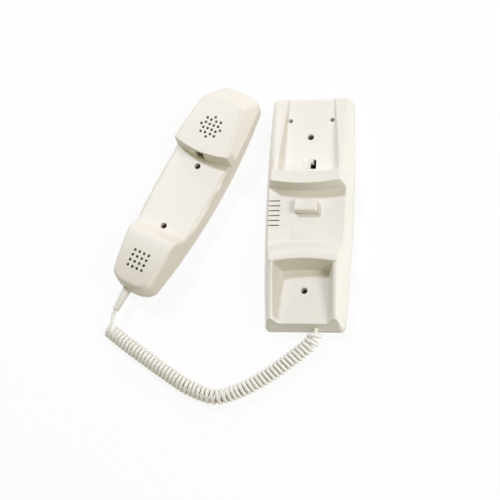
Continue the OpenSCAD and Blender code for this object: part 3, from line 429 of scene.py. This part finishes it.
def combine(bm, other, operation):
    """The mesh after a Boolean with another one."""
    objects = []
    for number, part in enumerate((bm, other)):
        mesh = bpy.data.meshes.new(f"work_{number}")
        part.to_mesh(mesh)
        part.free()
        work = bpy.data.objects.new(f"work_{number}", mesh)
        scene.collection.objects.link(work)
        objects.append(work)
    cut = objects[0].modifiers.new("cut", "BOOLEAN")
    cut.operation = operation
    cut.solver = "MANIFOLD"
    cut.object = objects[1]
    solid = objects[0].evaluated_get(bpy.context.evaluated_depsgraph_get())
    result = bmesh.new()
    result.from_mesh(solid.data)
    for work in objects:
        mesh = work.data
        bpy.data.objects.remove(work)
        bpy.data.meshes.remove(mesh)
    return result


def copied(node):
    """A copy of a CAD node's mesh, with its loose triangles joined."""
    bm = bmesh.new()
    bm.from_mesh(frame["nodes"][node].data)
    bmesh.ops.remove_doubles(bm, verts=bm.verts, dist=CAD_WELD)
    return bm


def softened(node, width, material, body, steps=2):
    """A copy of a CAD node with its sharp edges rounded."""
    bm = copied(node)
    bmesh.ops.dissolve_limit(bm, angle_limit=np.radians(FLAT_EDGE), verts=bm.verts, edges=bm.edges)
    limit = np.radians(SHARP_EDGE)
    sharp = [edge for edge in bm.edges if edge.is_manifold and edge.calc_face_angle() > limit]
    bmesh.ops.bevel(bm, geom=sharp, offset=width * MM, offset_type="OFFSET", segments=steps, profile=0.5,
                    affect="EDGES", clamp_overlap=True, material=-1)
    bmesh.ops.recalc_face_normals(bm, faces=bm.faces)
    piece = keep(bm, node + "_look", material, scale=1.0)
    crisp_edges(piece, CRISP_PIECE)
    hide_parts(node)
    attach(piece, body)


def sprung(node):
    """A copy of a spring, set on the cradle with a mesh of its own."""
    piece = keep(copied(node), node + "_look", steel, scale=1.0)
    crisp_edges(piece, CRISP_TUBE)
    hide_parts(node)
    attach(piece, "cradle")
    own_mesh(piece)


# Materials

class Value:
    """A socket in a material's node tree that takes part in sums."""

    def __init__(self, tree, socket):
        self.tree = tree
        self.socket = socket

    def node(self, kind, settings=None, inputs=None, output=0):
        made = self.tree.nodes.new(kind)
        for name, value in (settings or {}).items():
            setattr(made, name, value)
        for name, value in (inputs or {}).items():
            if isinstance(value, Value):
                self.tree.links.new(value.socket, made.inputs[name])
            else:
                made.inputs[name].default_value = value
        return Value(self.tree, made.outputs[output])

    def math(self, operation, a, b):
        return self.node("ShaderNodeMath", {"operation": operation}, {0: a, 1: b})

    def __add__(self, other):
        return self.math("ADD", self, other)

    __radd__ = __add__

    def __sub__(self, other):
        return self.math("SUBTRACT", self, other)

    def __rsub__(self, other):
        return self.math("SUBTRACT", other, self)

    def __mul__(self, other):
        return self.math("MULTIPLY", self, other)

    __rmul__ = __mul__

    def noise(self, scale, detail):
        return self.node("ShaderNodeTexNoise", None, {"Vector": self, "Scale": scale, "Detail": detail})

    def mix(self, first, second):
        """Colour between two, by this value."""
        settings = {"data_type": "RGBA", "clamp_factor": True}
        return self.node("ShaderNodeMix", settings, {0: self, 6: first, 7: second}, 2)


def moulded(name, light, dark, rough, grain, grain_scale=GRAIN_SCALE, metallic=0.0):
    """Moulded finish: faint patches of colour, an uneven gloss and a fine grain."""
    material = bpy.data.materials.new(name)
    material.use_nodes = True
    tree = material.node_tree
    shader = tree.nodes["Principled BSDF"]
    places = Value(tree, tree.nodes.new("ShaderNodeTexCoord").outputs["Object"])
    patches = places.noise(PATCH_SCALE, 3.0)
    fine = places.noise(grain_scale, 2.0)
    speck = places.noise(grain_scale * SPECK_SCALE, 1.0)
    colour = (patches * PATCH_CONTRAST - PATCH_OFFSET).mix((*dark, 1), (*light, 1))
    gloss = fine * GLOSS_RANGE + patches * GLOSS_RANGE + (rough - GLOSS_RANGE)
    height = fine * (1 - SPECK_SHARE) + speck * SPECK_SHARE
    bumps = {"Strength": grain, "Distance": GRAIN_DEPTH, "Height": height}
    normal = height.node("ShaderNodeBump", None, bumps)
    tree.links.new(colour.socket, shader.inputs["Base Color"])
    tree.links.new(gloss.socket, shader.inputs["Roughness"])
    tree.links.new(normal.socket, shader.inputs["Normal"])
    shader.inputs["Metallic"].default_value = metallic
    shader.inputs["IOR"].default_value = REFRACTION
    return material


ivory = moulded("ivory_plastic", (0.852, 0.822, 0.765), (0.83, 0.797, 0.737), 0.42, 0.12)
cord_ivory = moulded("cord_plastic", (0.91, 0.89, 0.845), (0.88, 0.855, 0.805), 0.36, 0.08, 1400.0)
# Back plate: the ivory darkened, partly a grey-beige tone of its own and partly painted shade on its edge
plate_tone_and_shade = moulded("plate_plastic", (0.72, 0.69, 0.61), (0.66, 0.63, 0.55), 0.5, 0.2)
black = moulded("black_plastic", (0.035, 0.035, 0.035), (0.02, 0.02, 0.02), 0.45, 0.25)
board_green = moulded("board_plastic", (0.08, 0.22, 0.1), (0.05, 0.16, 0.07), 0.4, 0.15, 600.0)
rubber = moulded("rubber", (0.06, 0.06, 0.058), (0.035, 0.035, 0.034), 0.7, 0.3)
steel = moulded("steel", (0.62, 0.62, 0.60), (0.5, 0.5, 0.49), 0.34, 0.15, 2200.0, metallic=1.0)
# Screw heads painted near-black: painted shade for the depth of their holes
painted_shade_steel = moulded("painted_shade_steel", (0.09, 0.08, 0.07), (0.05, 0.045, 0.04), 0.6, 0.2, 1800.0, metallic=0.4)
set_ivory = moulded("handset_plastic", (0.845, 0.805, 0.73), (0.823, 0.78, 0.70), 0.42, 0.12)
label_ivory = moulded("label_plastic", (0.865, 0.837, 0.782), (0.845, 0.815, 0.757), 0.5, 0.1)

FINISHES = {"ivory_plastic": ivory, "cord_plastic": cord_ivory, "plate_plastic": plate_tone_and_shade,
            "black_plastic": black, "board_plastic": board_green, "rubber": rubber, "steel": steel}
# The screws take the painted-shade steel; the microphone is rubber
DARKER = {"cover_screws": painted_shade_steel, "handset_screws": painted_shade_steel, "microphone": rubber}
for part in frame["record"]["subparts"]:
    mesh = frame["nodes"][part["node"]].data
    mesh.materials.clear()
    mesh.materials.append(DARKER.get(part["node"], FINISHES[part["material_slot"]]))


# Camera

def place_camera():
    back = unit(CAMERA_BACK)
    right = unit(CAMERA_RIGHT - back * CAMERA_RIGHT.dot(back))
    up = np.cross(back, right)
    data = bpy.data.cameras.new("camera")
    data.sensor_width = CAMERA_SENSOR
    data.lens = CAMERA_LENS
    data.clip_start = CAMERA_NEAR * MM
    camera = bpy.data.objects.new("camera", data)
    turned = np.eye(4)
    turned[:3, 0] = right
    turned[:3, 1] = up
    turned[:3, 2] = back
    turned[:3, 3] = CAMERA_PLACE * MM
    camera.matrix_world = Matrix(turned.tolist())
    scene.collection.objects.link(camera)
    scene.camera = camera


place_camera()


# Cord: a tail from the sleeve, a coil along the route, and a lead into the grommet

def lead_points(last, end):
    """Points from the last two of the coil, along one smooth curve, to the place in the grommet."""
    start = np.array(last[1])
    enter = end - np.array([0, CORD / 3, 0])
    leave = start + LEAD_PULL / 3 * unit(start - np.array(last[0]))
    arrive = enter - np.array([0, LEAD_PULL / 3, 0])
    points = []
    for t in np.linspace(0, 1, JOIN_STEPS + 1)[1:]:
        rest = 1 - t
        ends = start * rest ** 3 + enter * t ** 3
        points.append(ends + 3 * leave * rest ** 2 * t + 3 * arrive * rest * t ** 2)
    return points + [end]


def coil_points():
    """Middle line of the coil and its lead, with curls at an even step on the route's inner side."""
    line = smooth_line(np.array(ROUTE, float), ROUTE_STEPS)
    steps = np.diff(line, axis=0)
    size = np.linalg.norm(steps, axis=1)
    ahead = steps / size[:, None]
    bend = np.abs(ahead[:-1, 0] * ahead[1:, 1] - ahead[:-1, 1] * ahead[1:, 0])
    inner = size - CURL_RADIUS * np.concatenate([[0], bend])
    run = np.concatenate([[0], np.cumsum(inner)])
    total = run[-1]

    def place(s):
        return np.array([np.interp(s, run, line[:, 0]), np.interp(s, run, line[:, 1])])

    points = []
    for k in range(round((CURLS - LEAD_CURLS) * CURL_RINGS) + 1):
        s = total * k / (CURLS * CURL_RINGS)
        heading = unit(place(min(s + 1, total)) - place(max(s - 1, 0)))
        turn = 2 * np.pi * k / CURL_RINGS
        x, y = place(s) + CURL_RADIUS * np.sin(turn) * np.array([heading[1], -heading[0]])
        points.append((x, y, COIL_Z + CURL_RADIUS * np.cos(turn)))
    return np.array(points + lead_points(points[-2:], np.array([*ROUTE[-1], COIL_Z])))


def cord_points():
    """Middle line of the whole cord, from the sleeve's tip to the grommet."""
    coil = coil_points()
    matrix = laid_matrix()
    tip = np.array(matrix @ Vector((SLEEVE_X, -SET_END - SLEEVE_LENGTH, SLEEVE_Z)))
    away = np.array(matrix.to_3x3() @ Vector((0, -1, 0)))
    ahead = unit(coil[1] - coil[0])
    meet = coil[0] - CORD * ahead
    tail = np.array([tip, tip + CORD * away, meet - CORD * ahead, meet])
    middle = [between(tail, 1, k / JOIN_STEPS) for k in range(JOIN_STEPS + 1)]
    return np.concatenate([[tail[0]], middle, [tail[3]], coil])


def make_cord():
    points = cord_points() * MM
    data = bpy.data.curves.new("cord_line", "CURVE")
    data.dimensions = "3D"
    data.bevel_depth = CORD_LOOK / 2 * MM
    data.bevel_resolution = 3
    data.use_fill_caps = True
    spline = data.splines.new("POLY")
    spline.points.add(len(points) - 1)
    for point, place in zip(spline.points, points):
        point.co = (*place, 1)
    line = bpy.data.objects.new("cord_line", data)
    scene.collection.objects.link(line)
    solid = line.evaluated_get(bpy.context.evaluated_depsgraph_get())
    mesh = bpy.data.meshes.new_from_object(solid)
    bpy.data.objects.remove(line)
    bm = bmesh.new()
    bm.from_mesh(mesh)
    bpy.data.meshes.remove(mesh)
    bmesh.ops.remove_doubles(bm, verts=bm.verts, dist=CORD_WELD)
    bmesh.ops.recalc_face_normals(bm, faces=bm.faces)
    piece = keep(bm, "coiled_cord", cord_ivory, scale=1.0)
    crisp_edges(piece, CRISP_TUBE)
    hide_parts("curly_cord", "cord_tail")
    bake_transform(piece)


make_cord()


# Cradle cover: x and y are places in plan, and v is y before the lines across are bowed with the ridges

def base_half(y):
    return BASE_HALF - BASE_TAPER * ((y - BASE_WIDEST) / TAPER_RUN) ** 2


def base_row(v, inset):
    """Half width of the cover's plan at a place along it, with its corners rounded."""
    half = base_half(v) - inset
    for gap, corner in ((BASE_END - inset - v, EAR_CORNER), (v + BASE_END - inset, MOUTH_CORNER)):
        radius = corner - min(inset, corner - 1)
        short = np.clip(radius - gap, 0, radius)
        half = half - (radius - np.sqrt(radius ** 2 - short ** 2))
    return half


def ridge_back(v):
    """Back of the ear ridge: a steep face that runs out into the floor in a hollow curve."""
    toe = EAR_RIDGE_BACK + EAR_FILLET * np.sin(np.radians(EAR_FILLET_ANGLE))
    reach = np.clip(toe - v, 0, toe - EAR_RIDGE_BACK)
    curve = FLOOR + EAR_FILLET - np.sqrt(EAR_FILLET ** 2 - reach ** 2)
    steep = np.maximum(EAR_RIDGE_BACK - v, 0) * EAR_BACK_SLOPE
    return curve + steep - np.maximum(v - toe, 0) * EAR_FILLET_FALL


def ear_ridge(v, side):
    front = PANEL + (v - EAR_RIDGE_FRONT) * EAR_FRONT_SLOPE
    faces = soft_min(front, ridge_back(v), EAR_FACES_BLEND)
    ridge = soft_min(faces, EAR_RIDGE, EAR_TOP_BLEND)
    return soft_min(ridge, shoulder(side, EAR_RIDGE, EAR_RIDGE_EDGE, BASE_SLOPE), RIDGE_SIDE_BLEND)


def mouth_slope(v):
    return PANEL + (MOUTH_RIDGE_FRONT - v) * MOUTH_FRONT_SLOPE


def mouth_ridge(v, side):
    rear = MOUTH_FLOOR + (v - MOUTH_RIDGE_BACK) * MOUTH_BACK_SLOPE
    front = soft_min(mouth_slope(v), MOUTH_RIDGE, MOUTH_FRONT_BLEND)
    ridge = soft_min(front, rear, MOUTH_BACK_BLEND)
    return soft_min(ridge, shoulder(side, MOUTH_RIDGE, MOUTH_RIDGE_EDGE, BASE_SLOPE), RIDGE_SIDE_BLEND)


def ear_part(x, y, edge):
    """Ear recess: a floor between rails that fall towards the end."""
    rail = shoulder(edge, np.interp(y, *EAR_RAIL_HEIGHT), np.interp(y, *EAR_RAIL_EDGE), BASE_SLOPE)
    floor = shoulder(edge, FLOOR, FLOOR_EDGE, BASE_SLOPE)
    inside = FLOOR + (np.abs(x) - np.interp(y, *EAR_FLOOR_HALF)) / EAR_RAIL_LEAN
    return soft_min(rail, soft_max(floor, inside, FLOOR_BLEND), EAR_RAIL_BLEND)


def mouth_part(x, y, v, side):
    """Mouth recess: rails that fall from the ridge to the end, and a crisp end face."""
    top = np.interp(y, *MOUTH_RAIL_TOP)
    inside = MOUTH_FLOOR + (np.abs(x) - MOUTH_FLOOR_HALF) * (top - MOUTH_FLOOR) / MOUTH_RAIL_WIDTH
    top = soft_min(top, mouth_slope(v), MOUTH_FRONT_BLEND)
    rail = shoulder(side, top, MOUTH_RIDGE_EDGE, BASE_SLOPE)
    hollow = soft_min(rail, soft_max(MOUTH_FLOOR, inside, FLOOR_BLEND), MOUTH_RAIL_BLEND)
    edge = corner_inset(side, y + BASE_END, MOUTH_CORNER)
    return soft_min(hollow, BASE_SLOPE * edge, MOUTH_END_BLEND)


def cover_height(x, y, v):
    """Height of the cover's outside: the panel and the recesses, with the ridges over them."""
    side = base_half(y) - np.abs(x)
    edge = corner_inset(side, BASE_END - y, EAR_CORNER)
    panel = shoulder(side, PANEL, PANEL_EDGE, BASE_SLOPE)
    level = np.where(v < MOUTH_RECESS_START, mouth_part(x, y, v, side), panel)
    level = np.where(v > EAR_RECESS_START, ear_part(x, y, edge), level)
    foot = np.where(v > EAR_RECESS_START, np.interp(np.abs(x), *EAR_FOOT_BLEND), RIDGE_FOOT_BLEND)
    level = soft_max(level, ear_ridge(v, side), foot)
    foot = np.where(v < MOUTH_RIDGE_MIDDLE, FLOOR_BLEND, RIDGE_FOOT_BLEND)
    return soft_max(level, mouth_ridge(v, side), foot)


def cover_hollow(x, y, v):
    """Height of the cover's inside."""
    side = base_half(y) - np.abs(x)
    edge = np.minimum(np.minimum(side, BASE_END - y), y + BASE_END)
    under_panel = PANEL - BASE_WALL
    under_floor = FLOOR - BASE_WALL
    level = np.where((v < HOLLOW_PANEL_END) & (v > MOUTH_RIDGE_MIDDLE), under_panel, under_floor)
    front = under_panel + (v - HOLLOW_EAR_FRONT) * EAR_FRONT_SLOPE
    back = np.minimum(ridge_back(v + HOLLOW_EAR_WALL), ridge_back(v) - BASE_WALL)
    level = np.maximum(level, np.minimum(np.minimum(front, back), EAR_RIDGE - HOLLOW_EAR_WALL))
    front = mouth_slope(v + HOLLOW_MOUTH_SHIFT) - BASE_WALL
    back = under_floor + (v - HOLLOW_MOUTH_BACK) * HOLLOW_BACK_SLOPE
    level = np.maximum(level, np.minimum(np.minimum(front, back), MOUTH_RIDGE - HOLLOW_MOUTH_WALL))
    return np.minimum(level, BASE_SLOPE * (edge - LEANING_WALL))


def cover_sheet(across, along, inset, height):
    u, v = np.meshgrid(across, along, indexing="ij")
    x = u * base_row(v, inset)
    y = v + x * x * np.interp(v, *BASE_BOW)
    z = height(x, y, v)
    z[0, :] = z[-1, :] = PLATE_TOP
    z[:, 0] = z[:, -1] = PLATE_TOP
    return np.stack([x, y, z], axis=-1)


def cover_shell():
    """The cover without its holes, with lines set closer where its surface turns."""
    inset = PLATE_TOP / BASE_SLOPE
    start = BASE_END - inset
    across = mirrored(stations((0, 0.44, 8), (0.44, 0.76, 24), (0.76, 1.0, 22)))
    along = stations((-start, -100, 26), (-100, -62, 20), (-62, -50, 28), (-50, -34, 20), (-34, -31, 6),
                     (-31, 11.1, 22), (11.1, 13.7, 20), (13.7, 18.3, 7), (18.3, 27, 24), (27, 40, 18),
                     (40, 94, 24), (94, start, 22))
    outer = cover_sheet(across, along, inset, cover_height)
    inside = inset + LEANING_WALL
    inner = cover_sheet(across, along * (BASE_END - inside) / start, inside, cover_hollow)
    return shell(outer, inner)


def cover_openings():
    cuts = bmesh.new()
    add_rods(cuts, COVER_SCREWS, COVER_SCREW_HEAD, COVER_SCREW_SEAT, HOLE_HIGH)
    add_rods(cuts, WALL_SCREWS, WALL_SCREW_HOLE, HOLE_LOW, HOLE_HIGH)
    add_box(cuts, *BUTTON_OPENING)
    for k in range(SLOT_COUNT):
        y = SLOT_FIRST + SLOT_PITCH * k
        low = (SLOT_ACROSS[0], y - SLOT_HALF, SLOT_HEIGHTS[0])
        add_box(cuts, low, (SLOT_ACROSS[1], y + SLOT_HALF, SLOT_HEIGHTS[1]))
    add_box(cuts, *LEVER_OPENING)
    add_box(cuts, *HOOK_NOTCH)
    add_end_rod(cuts, ROUTE[-1][0], COIL_Z, GROMMET_HOLE, *GROMMET_HOLE_REACH)
    return cuts


def make_cover():
    bosses = bmesh.new()
    add_rods(bosses, COVER_SCREWS, COVER_SCREW_BOSS, COVER_SCREW_FOOT, BOSS_TOP)
    add_rods(bosses, WALL_SCREWS, WALL_SCREW_BOSS, WALL_SCREW_FOOT, BOSS_TOP)
    bm = combine(cover_shell(), bosses, "UNION")
    cuts = bmesh.new()
    add_rods(cuts, COVER_SCREWS, COVER_SCREW_HOLE, HOLE_LOW, COVER_SCREW_HOLE_TOP)
    bm = combine(bm, cuts, "DIFFERENCE")
    bm = combine(bm, cover_openings(), "DIFFERENCE")
    piece = keep(bm, "cradle_cover", ivory)
    crisp_edges(piece, CRISP_SHELL)
    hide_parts("base_cover")
    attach(piece, "cradle")


make_cover()


# Handset shells: x and y are places in plan, and v is y before the lines across are bowed with the step

def set_half(y):
    return SET_HALF - SET_TAPER * ((y - SET_WIDEST) / TAPER_RUN) ** 2


def set_row(v, inset):
    """Half width of the handset's plan at a place along it, with its corners rounded."""
    half = set_half(v) - inset
    for gap, corner in ((SET_END - inset - v, SET_TOP_CORNER), (v + SET_END - inset, SET_END_CORNER)):
        wide, tall = corner[0] - inset, corner[1] - inset
        short = np.clip(tall - gap, 0, tall) / tall
        half = half - wide * (1 - np.sqrt(1 - short ** 2))
    return half


def set_ends(x, inset):
    """Far and near end of the handset's plan at a place across it."""
    ends = []
    for sign, corner in ((1, SET_TOP_CORNER), (-1, SET_END_CORNER)):
        wide, tall = corner[0] - inset, corner[1] - inset
        flat = set_half(sign * (SET_END - tall)) - inset - wide
        over = np.clip((np.abs(x) - flat) / wide, 0, 1)
        ends.append(sign * (SET_END - inset - tall * (1 - np.sqrt(1 - over ** 2))))
    return ends


def to_corner(side, gap):
    """Distance from the outline, from the distances to a side and to an end."""
    return side * gap / np.maximum(np.hypot(side, gap), 1e-9)


def set_gaps(x, y, inset):
    """Distances from the plan's edge, its far end and its near end."""
    side = np.maximum(set_row(y, inset) - np.abs(x), 0)
    top, end = set_ends(x, inset)
    far = np.maximum(top - y, 0)
    near = np.maximum(y - end, 0)
    return np.minimum(to_corner(side, far), to_corner(side, near)), far, near


def face_height(x, y, v, wall):
    """Height of the face shell, less a wall for its inside: grip, ear pad and mouth pad."""
    edge, far, near = set_gaps(x, v, wall)
    grip = GRIP - wall
    step = grip + (v - EAR_STEP - wall) * STEP_SLOPE
    rise = grip + (MOUTH_RISE_FOOT - wall * MOUTH_RISE_SHIFT - v) * MOUTH_RISE_SLOPE
    crown = MOUTH_PAD - wall - MOUTH_CROWN * np.minimum(v - MOUTH_CROWN_START, 0) ** 2
    ear = soft_min(step, EAR_PAD - wall + EAR_TILT * (y - EAR_STEP), EAR_PAD_BLEND)
    mouth = soft_min(rise, crown, MOUTH_PAD_BLEND)
    level = soft_max(soft_max(grip, ear, STEP_FOOT_BLEND), mouth, RISE_FOOT_BLEND) - SET_JOINT
    body = shoulder(edge, level, np.interp(v, *SIDE_EDGE), np.interp(y, *SIDE_SLOPE))
    slant = EAR_END_FOOT * EAR_END_STEEP + (far - EAR_END_FOOT) * EAR_END_SLANT
    slant = np.minimum(far * EAR_END_STEEP, slant)
    end = shoulder(near, level, MOUTH_END_EDGE, MOUTH_END_SLOPE)
    return SET_JOINT + soft_min(soft_min(body, slant, EAR_END_BLEND), end, NEAR_END_BLEND)


def back_height(x, y, v, wall):
    """Height of the back shell, which turns up to the joint in a round curve."""
    edge = set_gaps(x, y, wall)[0]
    run = BACK_CURVE - wall
    short = np.clip(run - edge, 0, run) / run
    return SET_JOINT - (SET_JOINT - wall) * np.sqrt(np.maximum(1 - short ** 2, 0))


def set_sheet(across, along, inset, height, wall, rim):
    u, v = np.meshgrid(across, along, indexing="ij")
    x = u * set_row(v, inset)
    y = v + x * x * np.interp(v, *STEP_BOW)
    z = height(x, y, v, wall)
    z[0, :] = z[-1, :] = rim
    z[:, 0] = z[:, -1] = rim
    return np.stack([x, y, z], axis=-1)


def set_shell(height, rim):
    """One half of the handset without its holes, with lines set closer where its surface turns."""
    across = mirrored(stations((0, 0.7, 16), (0.7, 0.93, 16), (0.93, 1.0, 14)))
    end = SET_END
    along = stations((-end, -end + 0.5, 8), (-end + 0.5, -92, 18), (-92, -56, 20), (-56, -42, 22),
                     (-42, 27, 60), (27, 30.8, 20), (30.8, 70, 24), (70, end - 0.5, 32),
                     (end - 0.5, end, 8))
    outer = set_sheet(across, along, SET_INSET, height, 0.0, rim)
    inner = set_sheet(across, along * (end - SET_WALL) / end, SET_WALL, height, SET_WALL, rim)
    return shell(outer, inner)


def finish_set(bm, name, node):
    bmesh.ops.transform(bm, matrix=laid_matrix(), verts=bm.verts)
    piece = keep(bm, name, set_ivory)
    crisp_edges(piece, CRISP_SHELL)
    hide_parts(node)
    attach(piece, "handset")


def ear_holes():
    """Places of the sound holes at the ear, ring by ring."""
    places = []
    for count, radius, first in EAR_HOLE_RINGS:
        for k in range(count):
            angle = np.radians(first + 360 / count * k)
            places.append((radius * np.cos(angle), EAR_HOLES_MIDDLE + radius * np.sin(angle)))
    return places


def mouth_holes():
    """Places of the sound holes at the mouth, in a square."""
    steps = [(k - (MOUTH_HOLE_ROWS - 1) / 2) * MOUTH_HOLE_PITCH for k in range(MOUTH_HOLE_ROWS)]
    return [(x, MOUTH_HOLES_MIDDLE + y) for x in steps for y in steps]


def make_face():
    bosses = bmesh.new()
    add_rods(bosses, SET_SCREWS, SET_SCREW_BOSS, *SET_BOSS_HEIGHTS)
    bm = combine(set_shell(face_height, SET_JOINT + JOINT_GAP), bosses, "UNION")
    cuts = bmesh.new()
    add_rods(cuts, ear_holes(), SOUND_HOLE, *EAR_HOLE_HEIGHTS, SOUND_HOLE_SIDES)
    add_rods(cuts, mouth_holes(), SOUND_HOLE, *MOUTH_HOLE_HEIGHTS, SOUND_HOLE_SIDES)
    add_rods(cuts, SET_SCREWS, SET_SCREW_HEAD, *SET_HEAD_HEIGHTS)
    add_box(cuts, *HOOK_SLOT)
    bm = combine(bm, cuts, "DIFFERENCE")
    cuts = bmesh.new()
    add_rods(cuts, SET_SCREWS, SET_SCREW_HOLE, *SET_HOLE_HEIGHTS)
    bm = combine(bm, cuts, "DIFFERENCE")
    finish_set(bm, "handset_face_look", "handset_face")


def make_back():
    cuts = bmesh.new()
    add_end_rod(cuts, SLEEVE_X, SLEEVE_Z, SLEEVE_HOLE, *SLEEVE_HOLE_REACH)
    bm = combine(set_shell(back_height, SET_JOINT - JOINT_GAP), cuts, "DIFFERENCE")
    finish_set(bm, "handset_back_look", "handset_back")


make_face()
make_back()

# Smaller pieces with their edges rounded
softened("door_button", 0.7, ivory, "button", steps=3)
softened("hook_tab", 0.4, ivory, "cradle")
softened("hook_lever", 0.3, ivory, "hook")
softened("cord_sleeve", 0.35, cord_ivory, "handset")
softened("cord_grommet", 0.3, cord_ivory, "cradle")

# Springs, copied onto the cradle with meshes of their own
sprung("button_spring")
sprung("lever_spring")


def make_label():
    """The bare label place on the panel."""
    bm = bmesh.new()
    add_box(bm, *LABEL_PLACE, LABEL_EDGE)
    piece = keep(bm, "label_place", label_ivory)
    crisp_edges(piece, CRISP_PIECE)
    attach(piece, "cradle")


make_label()


# Stage and light

def background_rays(tree):
    """One where a ray shows the plain background: straight, mirrored or through glass."""
    path = tree.nodes.new("ShaderNodeLightPath")
    seen = Value(tree, path.outputs["Is Camera Ray"]) + Value(tree, path.outputs["Is Glossy Ray"])
    return seen.math("MINIMUM", seen + Value(tree, path.outputs["Is Transmission Ray"]), 1.0)


def make_floor():
    """A pale floor that is nearly white to the camera and keeps a faint shadow."""
    bm = bmesh.new()
    bmesh.ops.create_grid(bm, x_segments=2, y_segments=2, size=FLOOR_SIZE)
    mesh = bpy.data.meshes.new("floor")
    bm.to_mesh(mesh)
    bm.free()
    floor = bpy.data.objects.new("floor", mesh)
    floor.location = (0, 0, -FLOOR_DROP)
    scene.collection.objects.link(floor)
    material = bpy.data.materials.new("floor")
    material.use_nodes = True
    tree = material.node_tree
    tree.nodes.clear()
    seen = background_rays(tree)
    plain = seen.node("ShaderNodeBsdfDiffuse", None, {"Color": FLOOR_COLOUR})
    bright = seen.node("ShaderNodeEmission", None, {"Color": WHITE, "Strength": 1.0})
    both = seen.node("ShaderNodeMixShader", None, {0: seen * FLOOR_WHITE, 1: plain, 2: bright})
    out = tree.nodes.new("ShaderNodeOutputMaterial")
    tree.links.new(both.socket, out.inputs["Surface"])
    mesh.materials.append(material)


def make_world():
    """White where the background is seen, and a dim warm light elsewhere."""
    world = bpy.data.worlds.new("world")
    world.use_nodes = True
    scene.world = world
    tree = world.node_tree
    seen = background_rays(tree)
    strength = seen * (1.0 - WORLD_LEVEL) + WORLD_LEVEL
    colour = seen.mix(WORLD_COLOUR, WHITE)
    tree.links.new(colour.socket, tree.nodes["Background"].inputs["Color"])
    tree.links.new(strength.socket, tree.nodes["Background"].inputs["Strength"])


def make_lamp(name, direction, size, power, colour):
    """A round lamp in a direction from the object, facing it."""
    data = bpy.data.lights.new(name, "AREA")
    data.shape = "DISK"
    data.size = size
    data.energy = power
    data.color = colour
    lamp = bpy.data.objects.new(name, data)
    toward = Vector(direction).normalized()
    lamp.location = Vector(LAMP_AIM) + toward * LAMP_DISTANCE
    lamp.rotation_mode = "QUATERNION"
    lamp.rotation_quaternion = toward.to_track_quat("Z", "Y")
    scene.collection.objects.link(lamp)


make_floor()
make_world()
make_lamp("key", (-0.34, 0.44, 0.84), 0.22, 11.7, (0.79, 0.84, 1.0))
make_lamp("right", (0.64, -0.1, 0.77), 0.7, 10.8, (1.0, 0.95, 0.98))
make_lamp("side", (0.99, -0.1, 0.025), 0.07, 7.8, (0.83, 0.9, 1.0))
make_lamp("back", (-0.1, 0.9, 0.4), 0.9, 5.4, (1.0, 0.92, 0.94))
scene.view_settings.view_transform = "Standard"
